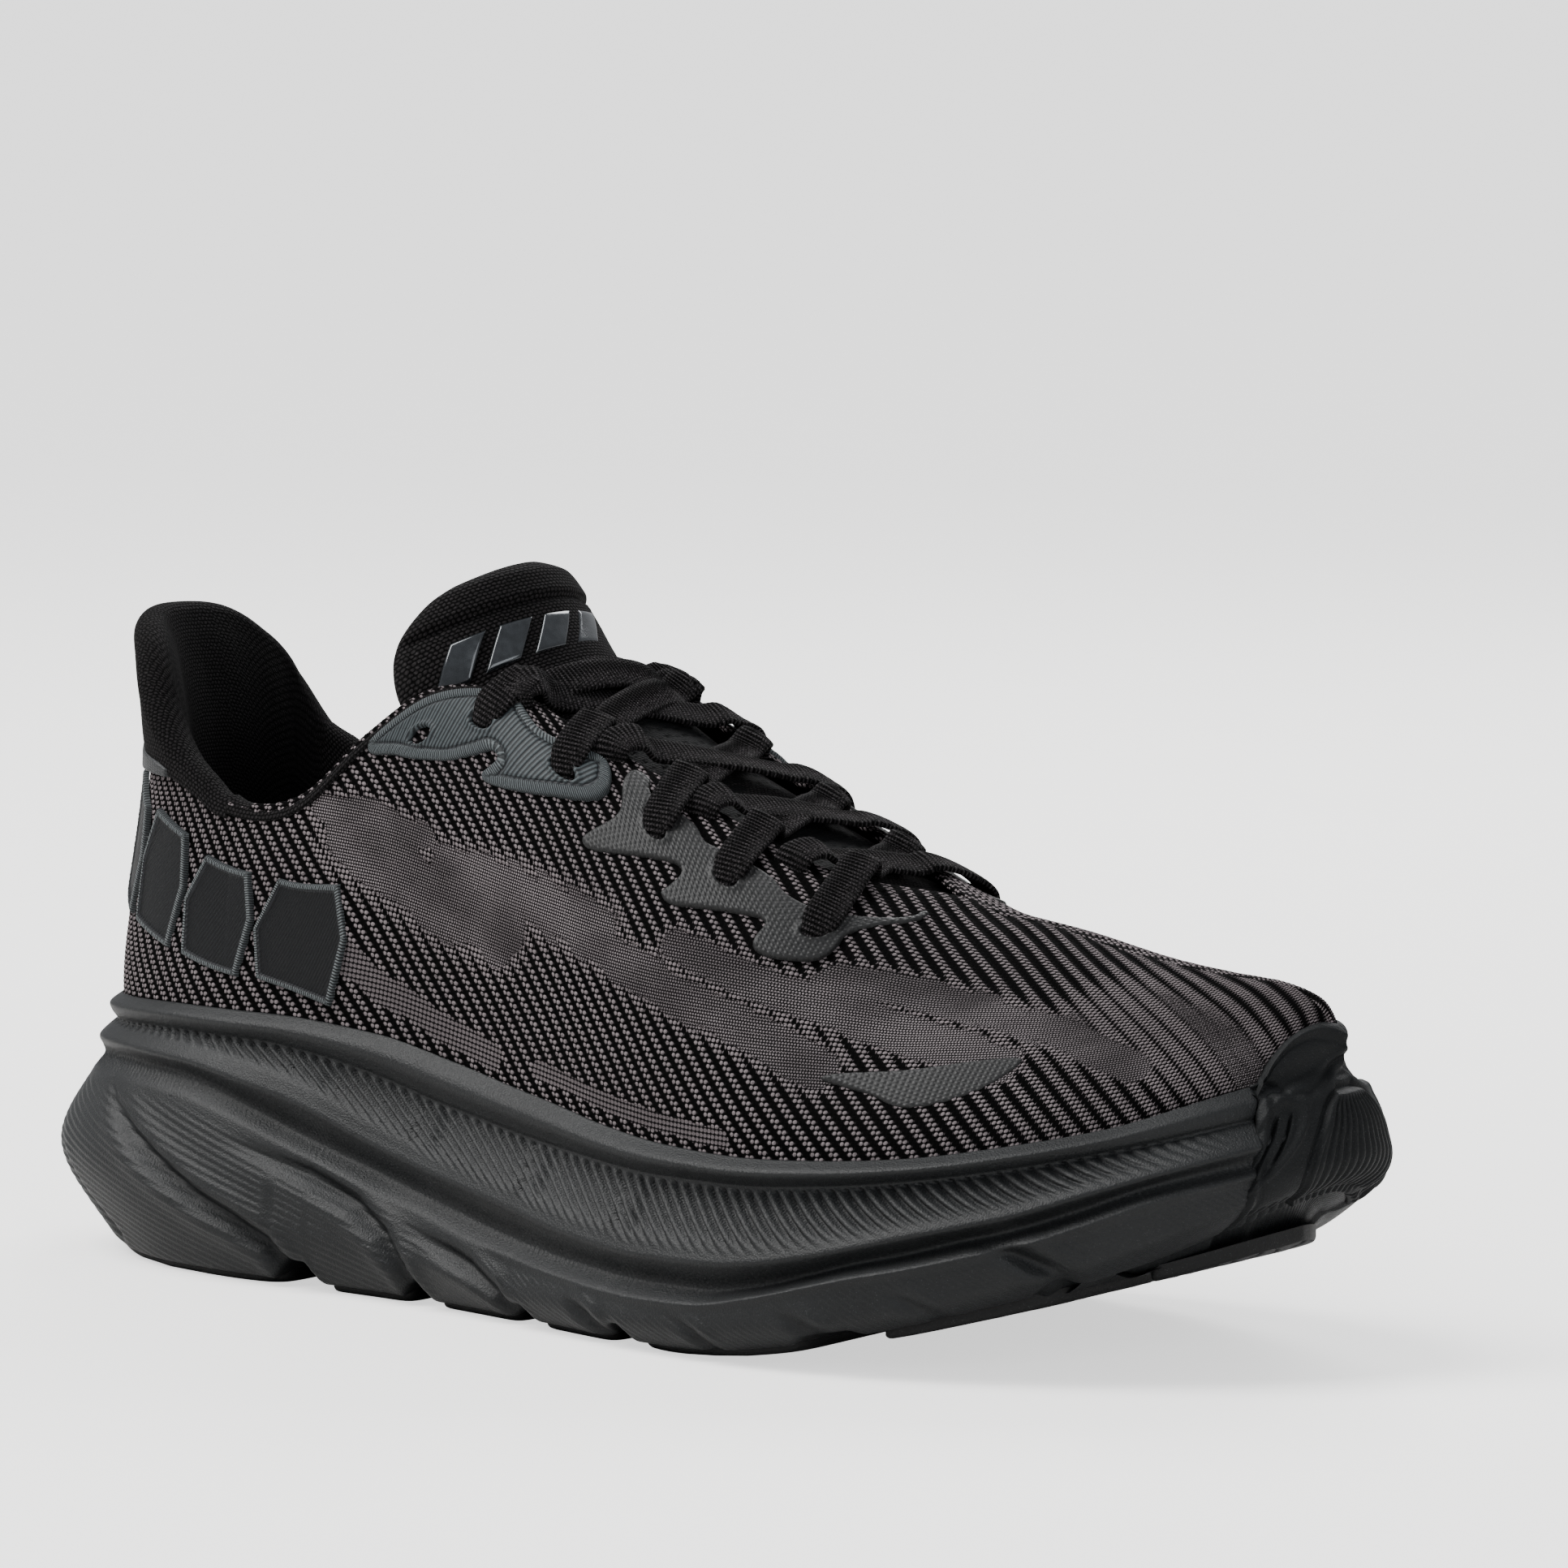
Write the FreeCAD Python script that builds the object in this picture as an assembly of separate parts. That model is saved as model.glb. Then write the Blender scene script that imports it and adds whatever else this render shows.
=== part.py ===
import FreeCAD, Part
import math
import os

# Running shoe, right foot, US 9 / EU 42.7, with a thick rockered sole. Millimetres, +Z up.
# Design frame: x from the heel (0) to the toe (300), y across with the little-toe (lateral)
# side negative, z up from the ground. At the end every piece is moved by TO_SHOE_FRAME, which
# puts the origin in the middle of the footprint, on the ground.
#
# Places round the shoe are given by u, counted in points of OUTLINE: 0 at the heel centre,
# up to 20 along the lateral side, 20 at the toe, and back along the medial side to 40.
# Places up the upper are given by v: 0 at the bite line (where it meets the sole), 1 at its
# top edge. Offsets of the upper are positive inward.

Vector = FreeCAD.Vector

# ---------------------------------------------------------------- driving dimensions
TO_SHOE_FRAME = (-150.434, 0.51, 0.0)
FLEX_X, FLEX_Z = 226.0, 16.0     # toe flex line, across the shoe
FLEX_BACK, FLEX_FRONT = 3.0, 23.0  # lean of the two cut planes above the flex line, degrees
FLEX_GAP_OUTER = 0.15            # from the cut planes to the rear and front pieces
FLEX_GAP_INNER = 0.05            # from the cut planes to the flex zone pieces
T_KNIT = 1.4                     # knit upper
T_FILM = 0.6                     # welded film and embroidery
T_PAD = 3.0                      # rubber outsole pads
T_BOARD = 1.4                    # strobel board
T_SOCK = 4.6                     # sockliner, rear
SOCK_FRONT_THINNER = 1.0
T_COUNTER = 1.2                  # heel counter
T_LINING = 0.8                   # collar lining
T_TAB_COVER = 1.3
T_TONGUE_COVER = 1.2
CLEAR = 0.2                      # between neighbouring layers
BITE_INSET = 0.6                 # upper's outer face inside the sole's top edge
BITE_SINK = 5.0                  # bite line below the sole's top edge
LACE_W, LACE_T = 7.0, 1.5
EYELET_D = 4.6
EYELET_DOWN = 8.5                # eyelet centre below the upper's top edge, along the wall
TAB_U, TAB_Z = 2.35, 102.0       # half width of the heel tab in u, height of its fold
TONGUE_FOLD = 0.74               # where the tongue's free end starts, along its length
EDGE_V = 0.985                   # v where the collar and tab padding end
CUP_V = -0.3                     # v of the upper's foot, just above the board

# ---------------------------------------------------------------- plan outline of the sole
# (x, y): heel centre, lateral side, toe, medial side
OUTLINE = [
    (0, 0), (2.5, -16), (10, -29.5), (22, -38.5), (40, -44.5), (60, -46.5), (80, -46),
    (100, -45.5), (120, -46.5), (140, -49.5), (160, -53.5), (180, -56.8), (200, -58),
    (220, -56.2), (240, -50.8), (258, -42), (274, -30.5), (286, -18), (294.5, -4), (298.5, 8),
    (299.8, 18), (297.9, 27.5), (293, 35.4), (285.5, 42.3), (274, 48.8), (259, 53.6),
    (241, 56.4), (220, 56.8), (200, 54.6), (180, 50), (160, 45.3), (140, 42.3), (120, 41.3),
    (100, 42.4), (80, 44.5), (60, 45.9), (40, 44.8), (22, 39.2), (9.5, 29.3), (2.3, 15.5)]
AROUND = len(OUTLINE)
TOE_U = AROUND // 2

# ---------------------------------------------------------------- sole tables, (x, value)
# Heights of the side wall's knots, from the ground up
Z_BOTTOM = [
    (0, 9), (6, 5.2), (14, 2.4), (24, 0.7), (36, 0), (60, 0), (185, 0), (200, 0.9), (210, 2.3),
    (220, 4.1), (230, 6.2), (240, 8.6), (250, 11.3), (260, 14.1), (270, 17.1), (280, 20.6),
    (290, 25.2), (300, 31)]
Z_BULGE = [
    (0, 23), (30, 21), (50, 18), (80, 14), (110, 10.5), (150, 7.5), (190, 7), (210, 9),
    (230, 12.5), (250, 17.5), (270, 24), (285, 31), (300, 40)]
Z_CREST = [
    (0, 36.5), (30, 36.8), (50, 35.8), (70, 31.6), (85, 27), (100, 22.8), (120, 17.8),
    (140, 14.2), (160, 11.9), (180, 10.8), (195, 11.2), (210, 14), (220, 16.6), (230, 19.2),
    (240, 21.4), (250, 24), (260, 26.8), (270, 30.6), (280, 35), (300, 42)]
Z_GROOVE = [
    (0, 40), (30, 40.6), (50, 39.8), (60, 38), (70, 35.2), (80, 32), (90, 29), (100, 26.3),
    (120, 21.3), (140, 17.4), (160, 15), (180, 13.9), (195, 13.9), (210, 16), (220, 18.6),
    (230, 21.6), (240, 24), (250, 26.9), (260, 29.6), (270, 33.4), (280, 37.8), (300, 44)]
Z_RIDGE = [
    (0, 43), (30, 43.8), (50, 43.4), (70, 40.6), (85, 37.4), (100, 32.6), (120, 27.6),
    (140, 24), (160, 20.8), (180, 19.2), (200, 19.6), (210, 20.7), (220, 22.6), (230, 25),
    (240, 27.6), (250, 30), (260, 32.7), (270, 36.4), (280, 40), (300, 47)]
Z_UNDER = [
    (0, 47), (20, 47.6), (50, 48.6), (70, 48.4), (85, 47), (100, 44.3), (120, 39.8),
    (150, 35.6), (180, 33.6), (200, 33.7), (220, 35), (240, 37.3), (260, 40.6), (280, 45.2),
    (300, 51)]
Z_TOP = [
    (0, 52), (20, 52.6), (50, 53.8), (75, 54), (100, 52.4), (120, 48.8), (135, 46),
    (150, 43.6), (165, 41.2), (180, 39.7), (200, 39.1), (220, 39.9), (240, 41.6), (260, 44.8),
    (275, 48), (288, 52.5), (300, 57)]
LIP_SHARE = 0.55                 # height of the lip, as a share from Z_UNDER to Z_TOP
# Insets of the same knots from the outline
D_BOTTOM = [(0, 12.5), (20, 10.5), (50, 6.2), (80, 5), (150, 5), (200, 5), (240, 6), (270, 8),
            (290, 11), (300, 13)]
D_BULGE = [(0, 0.2), (60, 0.2), (100, 0.5), (150, 0.8), (200, 0.8), (250, 1.4), (280, 1.2),
           (300, 0.2)]
D_CREST = [(0, 7.2), (30, 6.2), (60, 5), (100, 3.6), (150, 2.2), (200, 1.2), (250, 1.2),
           (280, 1), (300, 0.5)]
D_GROOVE = [(0, 9.7), (30, 9), (60, 8.4), (100, 7), (150, 5.2), (200, 4.8), (250, 4.6),
            (280, 3.2), (300, 1.4)]
D_RIDGE = [(0, 8.7), (30, 7.6), (60, 5.8), (100, 4), (150, 2.6), (200, 2.1), (250, 2.1),
           (280, 1.8), (300, 1.2)]
D_UNDER = [(0, 11.6), (30, 10.6), (60, 9.2), (100, 8.6), (150, 8.2), (200, 8.2), (250, 7.6),
           (280, 6.6), (300, 5.2)]
D_LIP = [(0, 10.6), (30, 9.6), (60, 7.8), (100, 6.8), (150, 6.2), (200, 6.2), (250, 6.4),
         (280, 6.6), (300, 6.4)]
D_TOP = [(0, 13.2), (30, 12.2), (60, 10.4), (100, 9.4), (150, 9.2), (200, 9.2), (250, 9.4),
         (280, 9.6), (300, 9.8)]
# Floor of the cup that holds the foot
Z_FOOT = [(0, 35), (40, 33.5), (80, 33), (120, 31), (160, 28.3), (200, 26.8), (220, 27.2),
          (240, 29.3), (260, 33), (280, 38.5), (300, 44)]

# ---------------------------------------------------------------- upper tables
# (x, y, z) of the top edge (collar, throat edge, ridge), one point per outline point
TOP_EDGE = [
    (13.5, 0, 129), (16, -12, 128.3), (24, -21.5, 124.3), (33, -28.5, 113.5),
    (45, -31.3, 102.6), (60, -32.5, 95.3), (77, -32.8, 97), (93.5, -30.6, 110.8),
    (109, -27.2, 120.8), (126, -23.6, 120.4), (147, -19.8, 111), (171, -16.6, 99.8),
    (196, -11, 89), (216, 7, 83.6), (237, 11.2, 78.6), (254, 14, 75.2), (268.5, 16, 72.4),
    (279, 17.3, 69.2), (285.6, 18, 65), (289, 18.3, 60.5), (289.8, 18.4, 57),
    (289, 18.3, 60.5), (285.6, 18, 65), (279, 17.3, 69.2), (268.5, 16, 72.4), (254, 14, 75.2),
    (237, 11.2, 78.6), (216, 7, 83.6), (196, 18.5, 87.8), (172, 22.8, 96.8),
    (148, 25.3, 107.6), (128, 27, 116.5), (110, 29, 117.4), (93, 31.3, 108), (76, 33, 97.2),
    (56, 33.5, 95), (37, 32.3, 100.5), (24.5, 28.6, 113.5), (18.5, 21, 122.8),
    (15, 12, 127.8)]
# Section curve at each outline point: rise out of the bite line, its outward lean, pull at
# the top edge, how steep it comes in (0 level, 1 plumb), inward tuck under the top edge
SECTION = [
    (26, 0.06, 22, 1.00, 12), (26, 0.06, 22, 1.00, 11), (26, 0.06, 22, 1.00, 9),
    (24, 0.06, 20, 1.00, 6), (20, 0.06, 16, 1.00, 3), (16, 0.07, 13, 1.00, 1),
    (18, 0.07, 14, 0.97, 0), (22, 0.08, 18, 0.88, 0), (26, 0.09, 22, 0.76, 0),
    (28, 0.10, 26, 0.62, 0), (27, 0.10, 27, 0.48, 0), (25, 0.10, 27, 0.38, 0),
    (22, 0.12, 26, 0.26, 0), (20, 0.12, 27, 0.08, 0), (17, 0.12, 23, 0.05, 0),
    (14, 0.10, 18, 0.05, 0), (11, 0.08, 13, 0.07, 0), (8.5, 0.06, 8, 0.14, 0),
    (5.5, 0.04, 4, 0.4, 0), (3, 0.02, 2, 0.7, 0), (2, 0.0, 1.5, 0.9, 0), (3, 0.02, 2, 0.7, 0),
    (5.5, 0.04, 4, 0.4, 0), (8.5, 0.06, 8, 0.14, 0), (11.5, 0.08, 12.5, 0.07, 0),
    (15, 0.10, 17, 0.05, 0), (18, 0.11, 20, 0.05, 0), (21, 0.11, 22, 0.08, 0),
    (23, 0.10, 20, 0.26, 0), (26, 0.08, 20, 0.38, 0), (27, 0.05, 20, 0.48, 0),
    (28, 0.04, 20, 0.62, 0), (27, 0.04, 20, 0.76, 0), (23, 0.05, 20, 0.88, 0),
    (18, 0.06, 15, 0.97, 0), (16, 0.07, 13, 1.00, 1), (20, 0.06, 16, 1.00, 3),
    (24, 0.06, 20, 1.00, 6), (26, 0.06, 22, 1.00, 9), (26, 0.06, 22, 1.00, 11)]


# ---------------------------------------------------------------- numbers and vectors
def interp(table, x):
    """Smooth monotone curve through the table [(x, value), ...], held level past its ends."""
    last = len(table) - 1
    if x <= table[0][0]:
        return table[0][1]
    if x >= table[-1][0]:
        return table[-1][1]
    i = 0
    while x > table[i + 1][0]:
        i += 1

    def rise(j):
        return (table[j + 1][1] - table[j][1]) / (table[j + 1][0] - table[j][0])

    def slope(j):
        if j == 0:
            return rise(0)
        if j == last:
            return rise(last - 1)
        a, b = rise(j - 1), rise(j)
        return 0.0 if a * b <= 0 else 2 * a * b / (a + b)

    x0, y0 = table[i]
    x1, y1 = table[i + 1]
    h = x1 - x0
    s = (x - x0) / h
    return (((2 * s - 3) * s * s + 1) * y0 + ((s - 2) * s + 1) * s * h * slope(i)
            + (3 - 2 * s) * s * s * y1 + (s - 1) * s * s * h * slope(i + 1))


def catmull_span(before, start, end, after, f):
    """Catmull-Rom point between start and end, at share f."""
    return [0.5 * (2 * b + (c - a) * f + (2 * a - 5 * b + 4 * c - d) * f * f
                   + (3 * b - a - 3 * c + d) * f ** 3)
            for a, b, c, d in zip(before, start, end, after)]


def closed_curve(points, u):
    """Closed smooth curve through the points, u counted in points."""
    n = len(points)
    i = int(math.floor(u))
    return catmull_span(points[(i - 1) % n], points[i % n], points[(i + 1) % n],
                        points[(i + 2) % n], u - i)


def clamp(value):
    return min(max(value, 0.0), 1.0)


def smooth_step(value):
    value = clamp(value)
    return value * value * (3 - 2 * value)


def spaced(a, b, n):
    return [a + (b - a) * i / (n - 1.0) for i in range(n)]


def sub(a, b):
    return tuple(p - q for p, q in zip(a, b))


def cross(a, b):
    return (a[1] * b[2] - a[2] * b[1], a[2] * b[0] - a[0] * b[2], a[0] * b[1] - a[1] * b[0])


def length(a):
    return math.sqrt(a[0] ** 2 + a[1] ** 2 + a[2] ** 2)


def unit(a):
    size = length(a) or 1.0
    return (a[0] / size, a[1] / size, a[2] / size)


def along(point, direction, distance):
    return tuple(p + d * distance for p, d in zip(point, direction))


def between(a, b, share):
    return tuple(p + (q - p) * share for p, q in zip(a, b))


def raised(point, dz):
    return (point[0], point[1], point[2] + dz)


def resolve(setting, *place):
    """A setting is a number, or a function of the place."""
    return setting(*place) if callable(setting) else setting


# ---------------------------------------------------------------- outline and sole wall
def mirror(u):
    """The place on the other side of the shoe."""
    return AROUND - u


def folded(u):
    """u of the matching place on the lateral side."""
    return u if u <= TOE_U else mirror(u)


def outline(u, inset=0.0):
    """Point of the outline at u, moved inward, and the outward normal: x, y, nx, ny."""
    e = 0.02
    x, y = closed_curve(OUTLINE, u)
    x1, y1 = closed_curve(OUTLINE, u + e)
    x0, y0 = closed_curve(OUTLINE, u - e)
    tx, ty = x1 - x0, y1 - y0
    size = math.hypot(tx, ty)
    nx, ny = ty / size, -tx / size
    return x - nx * inset, y - ny * inset, nx, ny


def wall_knots(x):
    """(height, inset) of the sole's side wall: bottom, bulge, crest, groove, ridge, under
    the lip, lip, top."""
    z_under, z_top = interp(Z_UNDER, x), interp(Z_TOP, x)
    knots = [(interp(heights, x), interp(insets, x)) for heights, insets in (
        (Z_BOTTOM, D_BOTTOM), (Z_BULGE, D_BULGE), (Z_CREST, D_CREST), (Z_GROOVE, D_GROOVE),
        (Z_RIDGE, D_RIDGE), (Z_UNDER, D_UNDER))]
    z_lip = z_under + (z_top - z_under) * LIP_SHARE
    return knots + [(z_lip, interp(D_LIP, x)), (z_top, interp(D_TOP, x))]


def wall_point(u, z, out=0.0):
    """Point of the sole's side wall at height z, moved outward by out."""
    x, y, nx, ny = outline(u)
    inset = interp(wall_knots(x), z) - out
    return (x - nx * inset, y - ny * inset, z)


# ---------------------------------------------------------------- upper surface
def upper_face(u, v):
    """Outer face of the upper: a cubic from the bite line to the top edge."""
    x, y, nx, ny = outline(u)
    inset = interp(D_TOP, x) + BITE_INSET
    base = (x - nx * inset, y - ny * inset, interp(Z_TOP, x) - BITE_SINK)
    top = closed_curve(TOP_EDGE, u)
    rise, lean, pull, steep, tuck = closed_curve(SECTION, u)
    low = (base[0] + nx * rise * lean, base[1] + ny * rise * lean, base[2] + rise)
    # the top edge is approached from outside: level pulls outward, plumb pulls down
    ox, oy = base[0] - top[0], base[1] - top[1]
    size = math.hypot(ox, oy)
    ox, oy = ox / size, oy / size
    steep = clamp(steep)
    level = math.sqrt(1 - steep * steep)
    high = (top[0] + ox * pull * level - nx * tuck, top[1] + oy * pull * level - ny * tuck,
            top[2] - pull * steep)
    w = 1 - v
    k0, k1, k2, k3 = w ** 3, 3 * w * w * v, 3 * w * v * v, v ** 3
    return tuple(k0 * a + k1 * b + k2 * c + k3 * d for a, b, c, d in zip(base, low, high, top))


def upper_normal(u, v):
    """Outward normal of the upper."""
    e = 0.03
    du = sub(upper_face(u + e, v), upper_face(u - e, v))
    dv = sub(upper_face(u, min(1.0, v + 0.01)), upper_face(u, max(0.0, v - 0.01)))
    return unit(cross(du, dv))


def upper(u, v, offset=0.0):
    """Point offset mm inside the upper's outer face."""
    point = upper_face(u, v)
    if offset == 0.0:
        return point
    return along(point, upper_normal(u, v), -offset)


def upper_to_cup(u, v, offset=0.0):
    """As upper(), but near and below v = 0 it runs straight down inside the sole's cup."""
    if v >= 0.012:
        return upper(u, min(v, 0.995), offset)
    x, y, nx, ny = outline(u)
    inset = interp(D_TOP, x) + BITE_INSET + offset
    z_bite = interp(Z_TOP, x) - BITE_SINK
    z_foot = interp(Z_FOOT, x) + 2.0
    z = z_bite + min(v, 0.0) / -CUP_V * (z_bite - z_foot)
    return (x - nx * inset, y - ny * inset, z)


def v_at_height(u, z):
    """v where the upper's face reaches height z."""
    low, high = 0.0, 1.0
    for _ in range(30):
        middle = 0.5 * (low + high)
        if upper_face(u, middle)[2] < z:
            low = middle
        else:
            high = middle
    return low


def v_below_edge(u, distance):
    """v at a distance down the wall from the top edge."""
    v, run, point = 1.0, 0.0, upper_face(u, 1.0)
    while run < distance and v > 0:
        v -= 0.01
        following = upper_face(u, v)
        run += length(sub(point, following))
        point = following
    return v


# ---------------------------------------------------------------- solids
def spline(points):
    curve = Part.BSplineCurve()
    curve.interpolate([Vector(*p) for p in points])
    return curve.toShape()


def line(a, b):
    return Part.makeLine(Vector(*a), Vector(*b))


def block(sections, ruled=False):
    """Solid swept through sections. Each section is two point rows, first and second face of
    the piece, in the same direction."""
    wires, edges = [], []
    for first, second in sections:
        a, b = spline(first), spline(second)
        wires.append(Part.Wire([a, line(first[-1], second[-1]), spline(second[::-1]),
                                line(second[0], first[0])]))
        edges.append((a, b))
    faces = list(Part.makeLoft(wires, False, ruled).Faces)
    for a, b in (edges[0], edges[-1]):
        faces.append(Part.makeRuledSurface(a, b))
    sewn = Part.Compound(faces)
    sewn.sewShape(0.01)
    # sewing may leave no shell; the faces are then joined directly
    shell = sewn.Shells[0] if sewn.Shells else Part.makeShell(faces)
    solid = Part.makeSolid(shell)
    if solid.Volume < 0:
        solid.reverse()
    return solid


def largest(shape):
    return max(shape.Solids, key=lambda solid: solid.Volume)


def upper_slab(stations, v_low, v_high, first, second, rows=8, ruled=False):
    """Piece of the upper's wall between two offsets. The v limits may be functions of u, the
    offsets functions of u and v."""
    sections = []
    for u in stations:
        vs = spaced(resolve(v_low, u), resolve(v_high, u), rows)
        sections.append([[upper_to_cup(u, v, resolve(offset, u, v)) for v in vs]
                         for offset in (first, second)])
    return block(sections, ruled)


def film(stations, v_low, v_high, rows, gap=CLEAR, ruled=False):
    """Thin layer on the outside of the upper."""
    return upper_slab(stations, v_low, v_high, -T_FILM - gap, -gap, rows, ruled)


def arch(stations, first, second, rows, v_low=CUP_V):
    """Piece of the upper that crosses over the foot from the lateral to the medial side."""
    vs = [v_low + (0.94 - v_low) * (i / (rows - 1.0)) ** 0.9 for i in range(rows)]
    return block([[[upper_to_cup(u, v, offset) for v in vs]
                   + [upper_to_cup(mirror(u), v, offset) for v in vs[::-1]]
                   for offset in (first, second)] for u in stations])


def plate(stations, inset, z_low, z_high):
    """Piece inside the outline; its inset and both heights are functions of x."""
    sections = []
    for u in stations:
        d = inset(outline(u)[0])
        a, b = outline(u, d)[:2], outline(mirror(u), d)[:2]
        row = [between(a, b, share) for share in (0, 0.25, 0.5, 0.75, 1)]
        sections.append([[(x, y, z(x)) for x, y in row] for z in (z_low, z_high)])
    return block(sections)


def flex_side(x_far, lean, offset):
    """Everything from the flex line's plane to x_far. The plane is shifted by offset along x,
    plumb below the line, and leans by lean degrees towards the toe above it."""
    side, bottom, top = 90, -10, 200
    x_line = FLEX_X + offset
    x_top = x_line + (top - FLEX_Z) * math.tan(math.radians(lean))
    corners = [Vector(x, -side, z) for x, z in (
        (x_line, bottom), (x_line, FLEX_Z), (x_top, top), (x_far, top), (x_far, bottom))]
    face = Part.Face(Part.makePolygon(corners + [corners[0]]))
    return face.extrude(Vector(0, 2 * side, 0))


X_BEHIND, X_AHEAD = -100.0, 400.0
REAR_SIDE = flex_side(X_BEHIND, -FLEX_BACK, -FLEX_GAP_OUTER)
FRONT_SIDE = flex_side(X_AHEAD, FLEX_FRONT, FLEX_GAP_OUTER)
AHEAD_OF_FLEX_ZONE = flex_side(X_AHEAD, FLEX_FRONT, FLEX_GAP_INNER)

pieces = {}


# ---------------------------------------------------------------- midsole
MIDSOLE_U = [0.22, 0.6, 1.05, 1.6, 2.3, 3.1, 4, 5, 6, 7, 8, 9, 10, 11, 12, 13, 14, 15, 16,
             16.8, 17.5, 18.1, 18.7, 19.2, 19.6, 19.82]
CUP_U = [0.3, 0.6, 1.0, 1.5, 2.2, 3, 4, 5, 6, 7, 8, 9, 10, 11, 12, 13, 14, 15, 16, 17, 18,
         19, 19.7]
CUP_TOP_Z = 75.0                 # clear above the sole


def midsole_row(u):
    """Side wall from bottom to top, drawn in near the toe to make room for the bumper."""
    x = outline(u)[0]
    bulge, crest, groove, ridge, under, lip, top = [z for z, _ in wall_knots(x)[1:]]
    bottom = interp(Z_BOTTOM, x) + T_PAD + 0.1
    heights = [bottom, bottom + (bulge - bottom) * 0.5, bulge, 0.5 * (bulge + crest), crest,
               groove, ridge, 0.5 * (ridge + under), under, lip, top]
    tuck = 2.2 * smooth_step((x - 262) / 14)
    return [wall_point(u, z, -tuck) for z in heights]


def add_midsole():
    """One foam casting with a cup for the foot, built in three so that it can bend."""
    foam = block([(midsole_row(u), midsole_row(mirror(u))) for u in MIDSOLE_U])
    cup = plate(CUP_U, lambda x: interp(D_TOP, x) + 0.05, lambda x: interp(Z_FOOT, x),
                lambda x: CUP_TOP_Z)
    foam = largest(foam.cut(cup))
    wedge = flex_side(X_AHEAD, -FLEX_BACK, -FLEX_GAP_INNER).cut(AHEAD_OF_FLEX_ZONE)
    pieces["midsole_rear"] = largest(foam.common(REAR_SIDE))
    pieces["midsole_forefoot"] = largest(foam.common(FRONT_SIDE))
    pieces["midsole_flex_zone"] = largest(foam.common(wedge))


# ---------------------------------------------------------------- outsole
# name, x from, x to, and the sides as shares from the lateral (0) to the medial (1) edge
PADS = [
    ("heel_lateral", 14, 78, 0.0, 0.42), ("heel_medial", 14, 78, 0.58, 1.0),
    ("arch_lateral", 90, 112, 0.0, 0.36), ("arch_medial", 90, 110, 0.64, 1.0),
    ("mid_lateral", 119, 143, 0.0, 0.38), ("mid_medial", 117, 141, 0.62, 1.0),
    ("ball_lateral", 149, 171, 0.0, 0.44), ("ball_medial", 148, 171, 0.56, 1.0),
    ("forefoot_lateral", 177, 217, 0.0, 0.46), ("forefoot_medial", 177, 218, 0.54, 1.0),
    ("toe_lateral", 231, 262, 0.0, 0.47), ("toe_medial", 232, 264, 0.53, 1.0),
    ("toe_tip", 269, 284, 0.05, 0.95)]
PAD_CORNERS = [4.0, 1.0, 0, 0, 0, 0, 0, 1.0, 4.0]  # the sides' draw-in at each station
PAD_INSET = 1.0                  # inside the wall's bottom edge


def outline_y(x, medial):
    """y of the outline at x, on the medial or the lateral side."""
    low, high = (TOE_U, AROUND) if medial else (0, TOE_U)
    for _ in range(40):
        middle = 0.5 * (low + high)
        if (outline(middle)[0] < x) != medial:
            low = middle
        else:
            high = middle
    return outline(low)[1]


def pad(x_from, x_to, share_from, share_to):
    """Rubber pad under the foam."""
    sections = []
    for x, corner in zip(spaced(x_from, x_to, len(PAD_CORNERS)), PAD_CORNERS):
        inset = interp(D_BOTTOM, x) + PAD_INSET
        lateral, medial = outline_y(x, False) + inset, outline_y(x, True) - inset
        a = lateral + (medial - lateral) * share_from
        b = lateral + (medial - lateral) * share_to
        ys = spaced(a + corner, b - corner, 3)
        z = interp(Z_BOTTOM, x)
        sections.append(([(x, y, z) for y in ys], [(x, y, z + T_PAD) for y in ys]))
    if max(point[2] for under, _ in sections for point in under) < 1e-6:
        # flat on the ground: a plain extrusion
        loop = [Vector(*under[0]) for under, _ in sections]
        loop += [Vector(*under[-1]) for under, _ in reversed(sections)]
        return Part.Face(Part.makePolygon(loop + [loop[0]])).extrude(Vector(0, 0, T_PAD))
    return block(sections, True)


def add_outsole():
    for name, *limits in PADS:
        pieces["outsole_" + name] = pad(*limits)


# ---------------------------------------------------------------- toe bumper
BUMPER_U = [16.7, 17.1, 17.5, 18, 18.5, 19, 19.4, 19.8, 20.2, 20.6, 21, 21.5, 22, 22.5, 22.9,
            23.3]
BUMPER_LOW_Z = [(262, 27.5), (276, 30), (290, 34), (300, 38)]              # (x, z)
# Where each row ends on the toe box, by folded u
BUMPER_END_V = [(16.6, 0.06), (17.2, 0.34), (18, 0.62), (19, 0.88), (20, 1.0)]
BUMPER_END_U = [(16.6, 16.6), (17.2, 17.2), (18, 17.6), (19, 17.85), (20, 17.95)]
BUMPER_OUTER, BUMPER_INNER = 1.8, 0.75  # its two faces, outside the sole's wall


def bumper_row(u, out):
    side_u = folded(u)
    x = outline(u)[0]
    z_lip = wall_knots(x)[6][0]
    points = [wall_point(u, z, out) for z in spaced(interp(BUMPER_LOW_Z, x), z_lip, 9)]
    end_v, end_u = interp(BUMPER_END_V, side_u), interp(BUMPER_END_U, side_u)
    for t in (0.35, 0.7, 1.0):
        row_u = side_u + (end_u - side_u) * t
        row_v = end_v * t ** (1.0 - 0.85 * smooth_step((side_u - 18) / 2.0))
        row_u = row_u if u <= TOE_U else mirror(row_u)
        points.append(upper_to_cup(row_u, max(row_v, 0.02), -out - 0.35))
    return points


def add_toe_bumper():
    """Rubber wrapped from the sole's wall over the lip onto the toe box."""
    pieces["toe_bumper"] = block(
        [(bumper_row(u, BUMPER_OUTER), bumper_row(u, BUMPER_INNER)) for u in BUMPER_U])


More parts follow.
